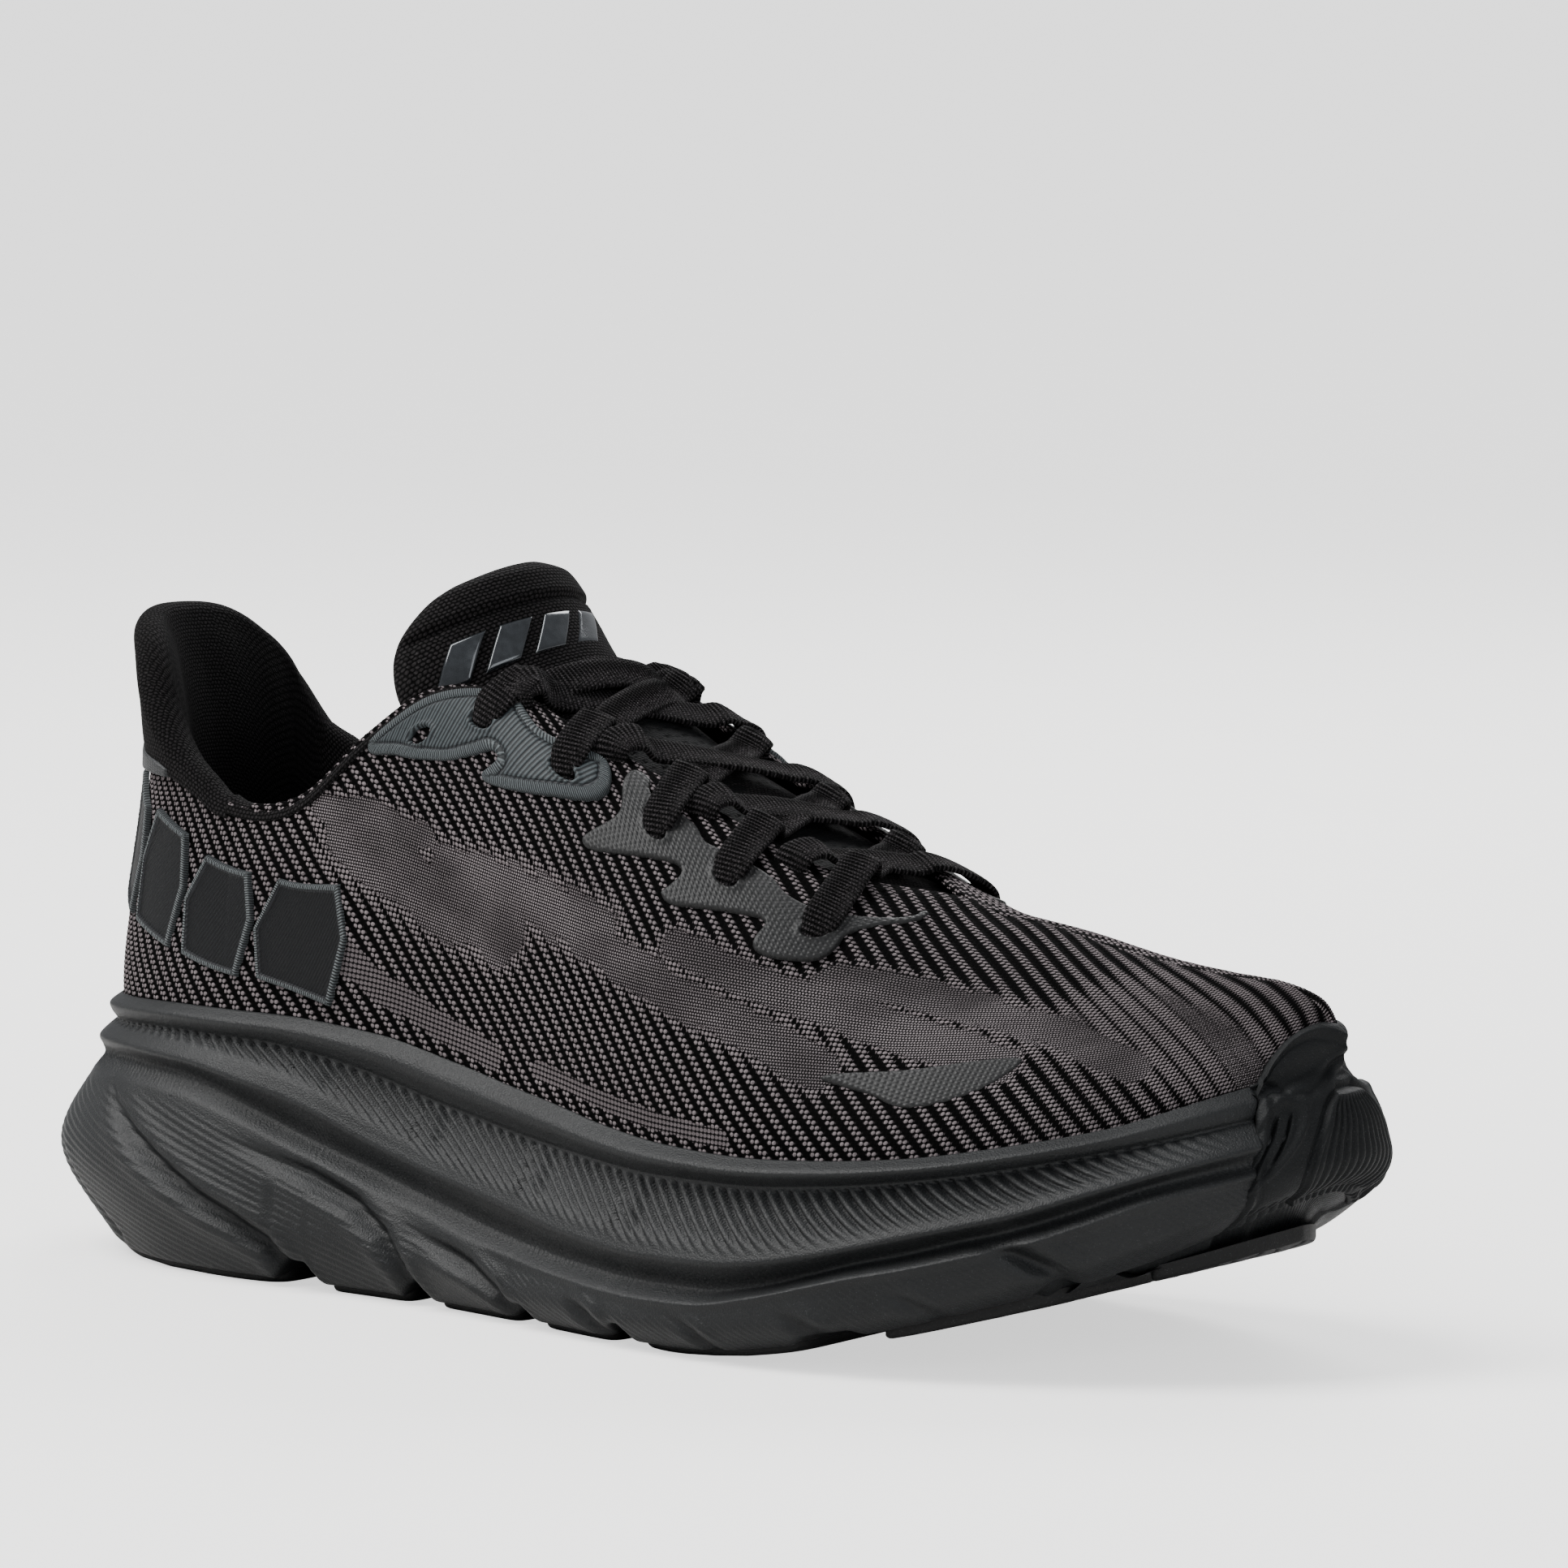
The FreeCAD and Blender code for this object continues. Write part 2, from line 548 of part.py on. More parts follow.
# ---------------------------------------------------------------- boards and sockliner
REAR_U = [0.35, 0.8, 1.4, 2.2, 3, 4, 5, 6, 7, 8, 9, 10, 11, 12]
FRONT_U = [14.4, 15, 16, 17, 18, 19, 19.6]
SOCK_INSET = [(0, 19), (60, 15.5), (90, 13.4), (300, 13.4)]                # (x, inset)


def board_z(x):
    return interp(Z_FOOT, x) + 0.5


def sock_z(x):
    return board_z(x) + T_BOARD + CLEAR


def add_boards_and_sockliner():
    """Each in a rear and a front part, with a gap at the ball of the foot."""
    for part, board_u, sock_u, t_sock in (
            ("rear", REAR_U + [13.08], REAR_U + [12.9], T_SOCK),
            ("front", [13.75] + FRONT_U, [13.95] + FRONT_U, T_SOCK - SOCK_FRONT_THINNER)):
        pieces["strobel_board_" + part] = plate(
            board_u, lambda x: interp(D_TOP, x) + BITE_INSET + T_KNIT + 0.3,
            board_z, lambda x: board_z(x) + T_BOARD)
        pieces["sockliner_" + part] = plate(
            sock_u, lambda x: interp(SOCK_INSET, x), sock_z, lambda x: sock_z(x) + t_sock)


# ---------------------------------------------------------------- knit upper and stiffeners
KNIT_HALF_U = [0.8, 1.6, 2.4, 3.2, 4, 5, 6, 7, 8, 9, 10, 11, 12, 12.6, 12.97]
VAMP_U = [13.02, 13.5, 14, 14.6, 15.3, 16, 16.8, 17.5, 18.2, 18.8, 19.3, 19.65]


def add_knit_upper():
    """Quarters and heel in one, then the vamp that creases, then the toe box."""
    stations = [mirror(u) for u in KNIT_HALF_U[::-1]] + [0] + KNIT_HALF_U
    knit = upper_slab(stations, CUP_V, 1.0, 0.0, T_KNIT, 11)
    tab_sections = []
    for u in (-TAB_U, -1.7, -0.85, 0, 0.85, 1.7, TAB_U):
        u %= AROUND
        vs = spaced(v_at_height(u, TAB_Z), 1.0, 5)
        tab_sections.append([[upper(u, v, offset) for v in vs] for offset in (-4.0, 6.0)])
    pieces["knit_upper_rear"] = largest(knit.cut(block(tab_sections)))
    vamp = arch(VAMP_U, 0.0, T_KNIT, 7)
    pieces["knit_upper_flex_zone"] = largest(vamp.cut(AHEAD_OF_FLEX_ZONE))
    pieces["knit_upper_toe_box"] = largest(vamp.common(FRONT_SIDE))


def add_stiffeners():
    """Heel counter and toe puff, inside the knit."""
    inside = T_KNIT + CLEAR
    pieces["heel_counter"] = upper_slab(
        [u % AROUND for u in spaced(-5.2, 5.2, 27)], 0.02,
        lambda u: 0.16 + 0.28 * math.cos(math.pi * folded(u) / 11.5),
        inside, inside + T_COUNTER, 6, True)
    pieces["toe_puff"] = arch([16.9, 17.5, 18.2, 18.8, 19.2], inside + 0.25, inside + 1.1, 6,
                              -0.2)


# ---------------------------------------------------------------- collar and heel tab
def collar_foam_inside(u, v):
    """Offset of the foam's inner face: a swelling that thins forward of the ankle."""
    swell = 4.6 * math.sin(math.pi * clamp((v - 0.45) / 0.62))
    return T_KNIT + CLEAR + 1.0 + swell * (1 - 0.5 * smooth_step((folded(u) - 5.0) / 2.2))


def lining_outside(u, v):
    return collar_foam_inside(u, v) + CLEAR


def collar_binding(stations):
    """Strip with a raised middle over the collar's top edge."""
    sections = []
    for u in stations:
        a, b = upper(u, 1.0, -0.5), upper(u, 1.0, 3.6)
        row = [a, between(a, b, 0.5), b]
        sections.append(([raised(p, 0.35) for p in row],
                         [raised(p, dz) for p, dz in zip(row, (1.5, 2.3, 1.5))]))
    return block(sections)


def add_collar():
    """Padding, lining and binding, each side."""
    lateral = spaced(TAB_U + 0.1, 7.1, 20)
    for side, stations in (("lateral", lateral), ("medial", [mirror(u) for u in lateral])):
        pieces["collar_foam_" + side] = upper_slab(
            stations, 0.48, EDGE_V, T_KNIT + 0.55, collar_foam_inside, 8, True)
        pieces["collar_lining_" + side] = upper_slab(
            stations, 0.47, EDGE_V, lining_outside,
            lambda u, v: lining_outside(u, v) + T_LINING, 8, True)
        pieces["collar_binding_" + side] = collar_binding(stations)


def tab_foam_inside(u, v):
    return 3.0 + 5.2 * math.sin(math.pi * clamp((v - 0.52) / 0.56))


def add_heel_tab():
    """Padded flap above its fold line, and the strip below it."""
    half_width = TAB_U - 0.06
    stations = [mirror(half_width), 38.3, 38.9, 39.4, 0.0, 0.6, 1.1, 1.7, half_width]

    def v_fold(u):
        return v_at_height(u, TAB_Z + 1.2)

    pieces["heel_tab_cover"] = upper_slab(stations, v_fold, EDGE_V, 0.0, T_TAB_COVER, 6)
    pieces["heel_tab_foam"] = upper_slab(stations, v_fold, EDGE_V, T_TAB_COVER + CLEAR,
                                         tab_foam_inside, 6)
    pieces["heel_strip"] = film([39.62, 39.85, 0.15, 0.38], 0.08,
                                lambda u: v_at_height(u, TAB_Z - 4.0), 6)


# ---------------------------------------------------------------- tongue
# Its place is given by s, from the throat (0) to the free end (1), and w, from -1 (lateral)
# to 1 (medial).
TONGUE_LINE = [(214, 6.8, 79.2), (200, 4.6, 82.6), (180, 3.2, 90.2), (160, 2.4, 98.8),
               (142, 2.0, 108.2), (128.5, 1.6, 118.5), (118.5, 1.0, 130.5),
               (111, 0.4, 142.5)]                                          # (x, y, z)
TONGUE_HALF_WIDTH = [(0, 7), (0.1, 15), (0.3, 21.5), (0.5, 23.5), (0.66, 22.6), (0.8, 23.5),
                     (0.9, 22.5), (0.96, 18.5), (1.0, 12)]                 # (s, value)
TONGUE_DROP = [(0, 1.5), (0.1, 5), (0.3, 9), (0.55, 11.5), (0.7, 13), (0.86, 13.5),
               (1.0, 7)]                                                   # (s, at w = +-1)
TONGUE_FOAM_INSIDE = [(0, 2.7), (0.5, 4.1), (0.75, 6.5), (0.93, 7.5), (1.0, 4.5)]
TONGUE_ARC = 1.25                # half angle of the tongue's cross curve, radians


def tongue_centre(s):
    last = len(TONGUE_LINE) - 1
    q = clamp(s) * last
    i = min(int(q), last - 1)
    return catmull_span(TONGUE_LINE[max(i - 1, 0)], TONGUE_LINE[i], TONGUE_LINE[i + 1],
                        TONGUE_LINE[min(i + 2, last)], q - i)


def tongue(s, w, offset=0.0):
    """Outer face of the tongue; offset goes in towards the foot."""
    centre = tongue_centre(s)
    ahead = sub(tongue_centre(s + 0.02), tongue_centre(s - 0.02))
    tangent = unit((ahead[0], 0.0, ahead[2]))
    outward = (tangent[2], 0.0, -tangent[0])      # up and forward
    half_width, depth = interp(TONGUE_HALF_WIDTH, s), interp(TONGUE_DROP, s)
    angle = w * TONGUE_ARC
    y = half_width * math.sin(angle) / math.sin(TONGUE_ARC)
    drop = depth * (1 - math.cos(angle)) / (1 - math.cos(TONGUE_ARC))
    side_lean = (depth / half_width) * math.sin(angle) * 1.4
    point = along((centre[0], centre[1] + y, centre[2]), outward, -drop)
    return along(point, unit((outward[0], side_lean, outward[2])), -offset)


def tongue_slab(stations, half_w, first, second, rows=9):
    """Layer of the tongue between two offsets, which may be functions of s."""
    ws = spaced(-half_w, half_w, rows)
    return block([[[tongue(s, w, resolve(offset, s)) for w in ws]
                   for offset in (first, second)] for s in stations])


def add_tongue():
    """Cover and foam, below and above the fold, a film panel and a small mark."""
    lower = [0.1, 0.2, 0.3, 0.4, 0.5, 0.6, TONGUE_FOLD - 0.035]
    for part, cover_s, foam_s in (
            ("lower", [0.0] + lower, [0.02] + lower),
            ("top", [TONGUE_FOLD, 0.79, 0.84, 0.88, 0.93, 0.97, 1.0],
             [TONGUE_FOLD, 0.75, 0.8, 0.86, 0.92, 0.97, 0.995])):
        pieces["tongue_cover_" + part] = tongue_slab(cover_s, 1, 0.0, T_TONGUE_COVER)
        pieces["tongue_foam_" + part] = tongue_slab(
            foam_s, 0.96, T_TONGUE_COVER + CLEAR, lambda s: interp(TONGUE_FOAM_INSIDE, s))
    pieces["tongue_film_panel"] = tongue_slab([0.30, 0.38, 0.46, 0.54, 0.61], 0.42,
                                              -T_FILM - CLEAR, -CLEAR, 7)
    pieces["tongue_mark"] = tongue_slab([0.80, 0.84, 0.875], 0.5, -0.45, -0.05, 7)


# ---------------------------------------------------------------- eyestays and eyelets
EYESTAY_TOP = 1.5                # upper limit, below the top edge
# Lower limit below the top edge, by folded u
EMBROIDERY_DEPTH = [(7.5, 6), (8, 13), (9, 19), (9.8, 21), (10.25, 15)]
FILM_DEPTH = [(10.2, 17), (10.7, 26), (11.1, 20), (11.5, 28), (12.0, 20), (12.4, 24),
              (12.9, 15)]
# Folded u of the eyelets, ankle to toe; the first is the spare one
EYELETS = [8.35, 9.05, 9.85, 10.62, 11.30, 12.05]
SIDES = (("lateral", lambda u: u), ("medial", mirror))


def add_eyestays():
    """Embroidered near the ankle, welded film further forward."""
    def v_top(u):
        return v_below_edge(u, EYESTAY_TOP)

    for side, to_side in SIDES:
        pieces["eyestay_embroidery_" + side] = film(
            [to_side(u) for u in (7.55, 7.9, 8.3, 8.8, 9.3, 9.8, 10.2)],
            lambda u: v_below_edge(u, interp(EMBROIDERY_DEPTH, folded(u))), v_top, 6)
        pieces["eyestay_film_" + side] = film(
            [to_side(u) for u in spaced(10.28, 12.85, 18)],
            lambda u: v_below_edge(u, interp(FILM_DEPTH, folded(u))), v_top, 6, 0.3, True)


def cut_eyelets():
    drills = []
    for _, to_side in SIDES:
        for eyelet in EYELETS:
            u = to_side(eyelet)
            v = v_below_edge(u, EYELET_DOWN)
            normal = upper_normal(u, v)
            start = along(upper_face(u, v), normal, 4)
            drills.append(Part.makeCylinder(EYELET_D / 2, 14.0, Vector(*start),
                                            Vector(*normal).negative()))
    drills = Part.Compound(drills)
    for name in ("knit_upper_rear", "eyestay_embroidery_lateral", "eyestay_embroidery_medial",
                 "eyestay_film_lateral", "eyestay_film_medial"):
        pieces[name] = largest(pieces[name].cut(drills))


# ---------------------------------------------------------------- lace
# Per strand, one at each eyelet after the spare: how far towards the ankle it lands, in u,
# and the extra height of its arc on the lateral and on the medial strand
STRANDS = [(-0.05, 5.6, 1.7), (0.10, 4.9, 0.1), (0.30, 4.9, 0.1), (0.40, 4.9, 0.1),
           (0.44, 4.9, 0.1)]


def strand(u, landing_u, level):
    """Flat lace from the eyelet at u across to the opposite edge at landing_u."""
    v = v_below_edge(u, EYELET_DOWN)
    edge = upper(u, v_below_edge(u, 2.5), -1.8)
    landing = upper(landing_u, 1.0)
    points = [upper(u, v, -1.2), edge]
    for t in (0.3, 0.5, 0.68, 0.84):
        lift = (1 - (2 * t - 1) ** 2) * (0.9 + level) + 1.9
        points.append(raised(between(edge, landing, t), lift - 1.6 * (1 - t)))
    sections = []
    for k, point in enumerate(points):
        tangent = unit(sub(points[min(k + 1, len(points) - 1)], points[max(k - 1, 0)]))
        facing = upper_normal(u, v) if k == 0 else (0.25, 0.0, 0.97)
        across = unit(cross(facing, tangent))
        facing = unit(cross(tangent, across))
        half = LACE_W / 2 * (0.72 if k == 0 else 1.0)   # narrower at the eyelet
        under = [along(point, across, e) for e in (-half, 0, half)]
        sections.append((under, [along(p, facing, LACE_T) for p in under]))
    return block(sections)


def add_lace():
    """One flat lace, seen as strands crossing the tongue."""
    for i, (step, lateral_level, medial_level) in enumerate(STRANDS, 1):
        start, landing = EYELETS[i], EYELETS[i] - step
        pieces["lace_lateral_%d" % i] = strand(start, mirror(landing), lateral_level)
        pieces["lace_medial_%d" % i] = strand(mirror(start), landing, medial_level)


# ---------------------------------------------------------------- small marks on the side
HEEL_MARKS = [(1.15, 1.95), (2.25, 3.05), (3.3, 3.95), (4.15, 4.7)]        # (u from, u to)


def heel_mark(u_from, u_to, z):
    """Patch standing on z, with an arched top."""
    def v_top(u):
        return v_at_height(
            u, z + 22.0 + 2.0 * math.sin(math.pi * (u - u_from) / (u_to - u_from)))

    return film(spaced(u_from, u_to, 4), lambda u: v_at_height(u, z + 1.0), v_top, 5)


def add_marks():
    for i, (u_from, u_to) in enumerate(HEEL_MARKS):
        pieces["heel_mark_%d" % (i + 1)] = heel_mark(u_from, u_to, 62.0 + 0.6 * i)
    pieces["forefoot_overlay"] = film([11.7, 12.2, 12.7], lambda u: 0.27 - 0.02 * (u - 11.7),
                                      lambda u: 0.33 + 0.01 * (u - 11.7), 4)


# ---------------------------------------------------------------- build and write out
add_midsole()
add_outsole()
add_toe_bumper()
add_boards_and_sockliner()
add_knit_upper()
add_stiffeners()
add_collar()
add_heel_tab()
add_tongue()
add_eyestays()
cut_eyelets()
add_lace()
add_marks()

os.makedirs("parts", exist_ok=True)
for name, solid in pieces.items():
    solid.translate(Vector(*TO_SHOE_FRAME))
    solid.exportStep("parts/%s.step" % name)
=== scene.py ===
"""A low laced sports shoe: foam midsole, rubber pads, toe bumper, knit upper, tongue and laces.

The shape tables are in mm: heel at x = 0, toe at x = 300, lateral side at -y, ground at z = 0.
Two coordinates are used all over the upper:
  lap    place round the outline, counted in outline points: 0 at the heel, 20 at the toe,
         0 to 20 on the lateral side and 20 to 40 on the medial side
  level  share of the wall height: 0 where the upper meets the midsole, 1 at its top edge
"""
import math

import bpy
import numpy as np
from mathutils import Matrix, Vector
from mathutils.geometry import delaunay_2d_cdt
from mathutils.kdtree import KDTree


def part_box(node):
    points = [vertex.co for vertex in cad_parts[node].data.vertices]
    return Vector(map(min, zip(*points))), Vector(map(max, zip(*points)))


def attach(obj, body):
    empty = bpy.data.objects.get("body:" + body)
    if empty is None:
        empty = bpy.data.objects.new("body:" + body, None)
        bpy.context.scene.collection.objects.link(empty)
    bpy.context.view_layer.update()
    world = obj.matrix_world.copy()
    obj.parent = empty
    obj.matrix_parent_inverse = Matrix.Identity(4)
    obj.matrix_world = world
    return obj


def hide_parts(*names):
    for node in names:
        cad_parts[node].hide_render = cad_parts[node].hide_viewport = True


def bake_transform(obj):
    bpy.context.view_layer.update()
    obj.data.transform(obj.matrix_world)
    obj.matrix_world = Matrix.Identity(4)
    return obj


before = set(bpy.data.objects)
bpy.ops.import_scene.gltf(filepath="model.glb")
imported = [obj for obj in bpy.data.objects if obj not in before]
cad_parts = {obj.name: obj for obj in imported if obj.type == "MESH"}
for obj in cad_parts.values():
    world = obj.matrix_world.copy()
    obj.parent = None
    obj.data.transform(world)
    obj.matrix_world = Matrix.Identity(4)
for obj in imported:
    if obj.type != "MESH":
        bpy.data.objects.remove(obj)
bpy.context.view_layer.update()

MM = 0.001
TAU = 2 * math.pi
UP = np.array([0.0, 0.0, 1.0])

# Rubber pads: first x, last x, then from and to as shares of the width, lateral edge first
PADS = {
    "heel_lateral": (14, 79, 0.0, 0.42), "heel_medial": (14, 79, 0.58, 1.0),
    "arch_lateral": (90, 112, 0.0, 0.36), "arch_medial": (90, 110, 0.64, 1.0),
    "mid_lateral": (119, 143, 0.0, 0.38), "mid_medial": (117, 141, 0.62, 1.0),
    "ball_lateral": (149, 171, 0.0, 0.44), "ball_medial": (148, 171, 0.56, 1.0),
    "forefoot_lateral": (177, 217, 0.0, 0.46), "forefoot_medial": (177, 218, 0.54, 1.0),
    "toe_lateral": (231, 262, 0.0, 0.47), "toe_medial": (232, 264, 0.53, 1.0),
    "toe_tip": (269, 285.5, 0.05, 0.95),
}


def frame_shift(pad):
    """How far along x the CAD pad lies from its place in the tables (mm)."""
    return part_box("outsole_" + pad)[0].x * 1000 - PADS[pad][0]


ORIGIN = np.array([0.5 * (frame_shift("heel_lateral") + frame_shift("arch_lateral")), 0.51, 0.0])


def to_frame(points):
    """Table mm to the CAD frame's metres."""
    return (np.asarray(points, float) + ORIGIN) * MM


# ---------------------------------------------------------------- shape tables (mm)
OUTLINE = np.array([  # x, y of the widest line seen from above
    (0, 0), (2.5, -16), (10, -29.5), (22, -38.5), (40, -44.5), (60, -46.5), (80, -46),
    (100, -45.5), (120, -46.5), (140, -49.5), (160, -53.5), (180, -56.8), (200, -58),
    (220, -56.2), (240, -50.8), (258, -42), (274, -30.5), (286, -18), (294.5, -4), (298.5, 8),
    (299.8, 18), (297.9, 27.5), (293, 35.4), (285.5, 42.3), (274, 48.8), (259, 53.6),
    (241, 56.4), (220, 56.8), (200, 54.6), (180, 50), (160, 45.3), (140, 42.3), (120, 41.3),
    (100, 42.4), (80, 44.5), (60, 45.9), (40, 44.8), (22, 39.2), (9.5, 29.3), (2.3, 15.5)], float)

# Heights of lines along the midsole wall: x, z, from the ground up
SOLE_Z = [
    (0, 9), (6, 5.2), (14, 2.4), (24, 0.7), (36, 0), (60, 0), (185, 0), (200, 0.9), (210, 2.3),
    (220, 4.1), (230, 6.2), (240, 8.6), (250, 11.3), (260, 14.1), (270, 17.1), (280, 20.6),
    (290, 25.2), (300, 31)]
BULGE_Z = [
    (0, 23), (30, 21), (50, 18), (80, 14), (110, 10.5), (150, 7.5), (190, 7), (210, 9),
    (230, 12.5), (250, 17.5), (270, 24), (285, 31), (300, 40)]
CREST_Z = [
    (0, 36.5), (30, 36.8), (50, 35.8), (70, 31.6), (85, 27), (100, 22.8), (120, 17.8),
    (140, 14.2), (160, 11.9), (180, 10.8), (195, 11.2), (210, 14), (220, 16.6), (230, 19.2),
    (240, 21.4), (250, 24), (260, 26.8), (270, 30.6), (280, 35), (300, 42)]
GROOVE_Z = [
    (0, 40), (30, 40.6), (50, 39.8), (60, 38), (70, 35.2), (80, 32), (90, 29), (100, 26.3),
    (120, 21.3), (140, 17.4), (160, 15), (180, 13.9), (195, 13.9), (210, 16), (220, 18.6),
    (230, 21.6), (240, 24), (250, 26.9), (260, 29.6), (270, 33.4), (280, 37.8), (300, 44)]
RIDGE_Z = [
    (0, 43), (30, 43.8), (50, 43.4), (70, 40.6), (85, 37.4), (100, 32.6), (120, 27.6),
    (140, 24), (160, 20.8), (180, 19.2), (200, 19.6), (210, 20.7), (220, 22.6), (230, 25),
    (240, 27.6), (250, 30), (260, 32.7), (270, 36.4), (280, 40), (300, 47)]
UNDER_Z = [
    (0, 47), (20, 47.6), (50, 48.6), (70, 48.4), (85, 47), (100, 44.3), (120, 39.8),
    (150, 35.6), (180, 33.6), (200, 33.7), (220, 35), (240, 37.3), (260, 40.6), (280, 45.2),
    (300, 51)]
TOP_Z = [
    (0, 52), (20, 52.6), (50, 53.8), (75, 54), (100, 52.4), (120, 48.8), (135, 46), (150, 43.6),
    (165, 41.2), (180, 39.7), (200, 39.1), (220, 39.9), (240, 41.6), (260, 44.8), (275, 48),
    (288, 52.5), (300, 57)]
FOOTBED_Z = [
    (0, 35), (40, 33.5), (80, 33), (120, 31), (160, 28.3), (200, 26.8), (220, 27.2),
    (240, 29.3), (260, 33), (280, 38.5), (300, 44)]

# How far those lines lie inside the outline: x, inset
BOTTOM_IN = [
    (0, 12.5), (20, 10.5), (50, 6.2), (80, 5), (150, 5), (200, 5), (240, 6), (270, 8),
    (290, 11), (300, 13)]
BULGE_IN = [
    (0, 0.2), (60, 0.2), (100, 0.5), (150, 0.8), (200, 0.8), (250, 1.4), (280, 1.2), (300, 0.2)]
CREST_IN, GROOVE_IN, RIDGE_IN, UNDER_IN, LIP_IN, TOP_IN = (
    list(zip((0, 30, 60, 100, 150, 200, 250, 280, 300), insets)) for insets in (
        (7.2, 6.2, 5, 3.6, 2.2, 1.2, 1.2, 1, 0.5),
        (9.7, 9, 8.4, 7, 5.2, 4.8, 4.6, 3.2, 1.4),
        (8.7, 7.6, 5.8, 4, 2.6, 2.1, 2.1, 1.8, 1.2),
        (11.6, 10.6, 9.2, 8.6, 8.2, 8.2, 7.6, 6.6, 5.2),
        (10.6, 9.6, 7.8, 6.8, 6.2, 6.2, 6.4, 6.6, 6.4),
        (13.2, 12.2, 10.4, 9.4, 9.2, 9.2, 9.4, 9.6, 9.8)))

UPPER_EDGE = np.array([  # x, y, z of the upper's top edge, one point to each outline point
    (13.5, 0, 129), (16, -12, 128.3), (24, -21.5, 124.3), (33, -28.5, 113.5), (45, -31.3, 102.6),
    (60, -32.5, 95.3), (77, -32.8, 97), (93.5, -30.6, 110.8), (109, -27.2, 120.8),
    (126, -23.6, 120.4), (147, -19.8, 111), (171, -16.6, 99.8), (196, -11, 89), (216, 7, 83.6),
    (237, 11.2, 78.6), (254, 14, 75.2), (268.7, 16, 73.3), (279.6, 17.3, 72.3),
    (288.2, 18, 69.9), (291.8, 18.3, 65.2), (292.6, 18.4, 59.6), (291.8, 18.3, 65.2),
    (288.2, 18, 69.9), (279.6, 17.3, 72.3), (268.7, 16, 73.3), (254, 14, 75.2),
    (237, 11.2, 78.6), (216, 7, 83.6), (196, 18.5, 87.8), (172, 22.8, 96.8), (148, 25.3, 107.6),
    (128, 27, 116.5), (110, 29, 117.4), (93, 31.3, 108), (76, 33, 97.2), (56, 33.5, 95),
    (37, 32.3, 100.5), (24.5, 28.6, 113.5), (18.5, 21, 122.8), (15, 12, 127.8)], float)
SECTIONS = np.array([  # wall curve: lower handle, its lean, upper handle, its steepness, tuck
    (26, 0.06, 22, 1.00, 12), (26, 0.06, 22, 1.00, 11), (26, 0.06, 22, 1.00, 9),
    (24, 0.06, 20, 1.00, 6), (20, 0.06, 16, 1.00, 3), (16, 0.07, 13, 1.00, 1),
    (18, 0.07, 14, 0.97, 0), (22, 0.08, 18, 0.88, 0), (26, 0.09, 22, 0.76, 0),
    (28, 0.10, 26, 0.62, 0), (27, 0.10, 27, 0.48, 0), (25, 0.10, 27, 0.38, 0),
    (22, 0.12, 26, 0.26, 0), (20, 0.12, 27, 0.08, 0), (17, 0.12, 23, 0.05, 0),
    (14, 0.10, 18, 0.05, 0), (11, 0.08, 13, 0.07, 0), (8.5, 0.06, 8, 0.14, 0),
    (5.5, 0.04, 4, 0.4, 0), (3, 0.02, 2, 0.7, 0), (2, 0.0, 1.5, 0.9, 0), (3, 0.02, 2, 0.7, 0),
    (5.5, 0.04, 4, 0.4, 0), (8.5, 0.06, 8, 0.14, 0), (11.5, 0.08, 12.5, 0.07, 0),
    (15, 0.10, 17, 0.05, 0), (18, 0.11, 20, 0.05, 0), (21, 0.11, 22, 0.08, 0),
    (23, 0.10, 20, 0.26, 0), (26, 0.08, 20, 0.38, 0), (27, 0.05, 20, 0.48, 0),
    (28, 0.04, 20, 0.62, 0), (27, 0.04, 20, 0.76, 0), (23, 0.05, 20, 0.88, 0),
    (18, 0.06, 15, 0.97, 0), (16, 0.07, 13, 1.00, 1), (20, 0.06, 16, 1.00, 3),
    (24, 0.06, 20, 1.00, 6), (26, 0.06, 22, 1.00, 9), (26, 0.06, 22, 1.00, 11)], float)

BITE_DEPTH = 5.0      # how far the upper's foot sits below the midsole's top
COURSE = 1.02         # height of one knitted course
STRIPE = 4.15         # pitch of the knit's stripes
BUMPER_START = 17.42  # lap where the toe bumper begins
BUMPER_SLANT = 0.44   # how much further on, in lap, its side edge is at the lip
COLLAR_END = 8.75     # lap where the padded collar ends


# ---------------------------------------------------------------- small maths
def monotone(knots, values, at):
    """Monotone cubic per row: knots and values are (rows, knots), at is (rows, samples)."""
    gap = np.diff(knots, axis=1)
    slope = np.diff(values, axis=1) / gap
    tangent = np.empty_like(values)
    tangent[:, 0], tangent[:, -1] = slope[:, 0], slope[:, -1]
    before, after = slope[:, :-1], slope[:, 1:]
    with np.errstate(divide="ignore", invalid="ignore"):
        mean = 2 * before * after / (before + after)
    tangent[:, 1:-1] = np.where(before * after <= 0, 0.0, mean)
    at = np.clip(at, knots[:, :1], knots[:, -1:])
    i = (at[:, :, None] >= knots[:, None, :]).sum(-1) - 1
    i = np.clip(i, 0, knots.shape[1] - 2)
    row = np.arange(len(knots))[:, None]
    span = gap[row, i]
    t = (at - knots[row, i]) / span
    return (((2 * t - 3) * t * t + 1) * values[row, i]
            + ((t - 2) * t + 1) * t * span * tangent[row, i]
            + (3 - 2 * t) * t * t * values[row, i + 1]
            + (t - 1) * t * t * span * tangent[row, i + 1])


def curve(table, at):
    """Monotone cubic through a table of (place, value)."""
    knots, values = np.asarray(table, float).T
    at = np.asarray(at, float)
    return monotone(knots[None], values[None], at.reshape(1, -1)).reshape(at.shape)


def catmull(before, start, end, after, f):
    return 0.5 * (2 * start + (end - before) * f
                  + (2 * before - 5 * start + 4 * end - after) * f * f
                  + (3 * start - before - 3 * end + after) * f ** 3)


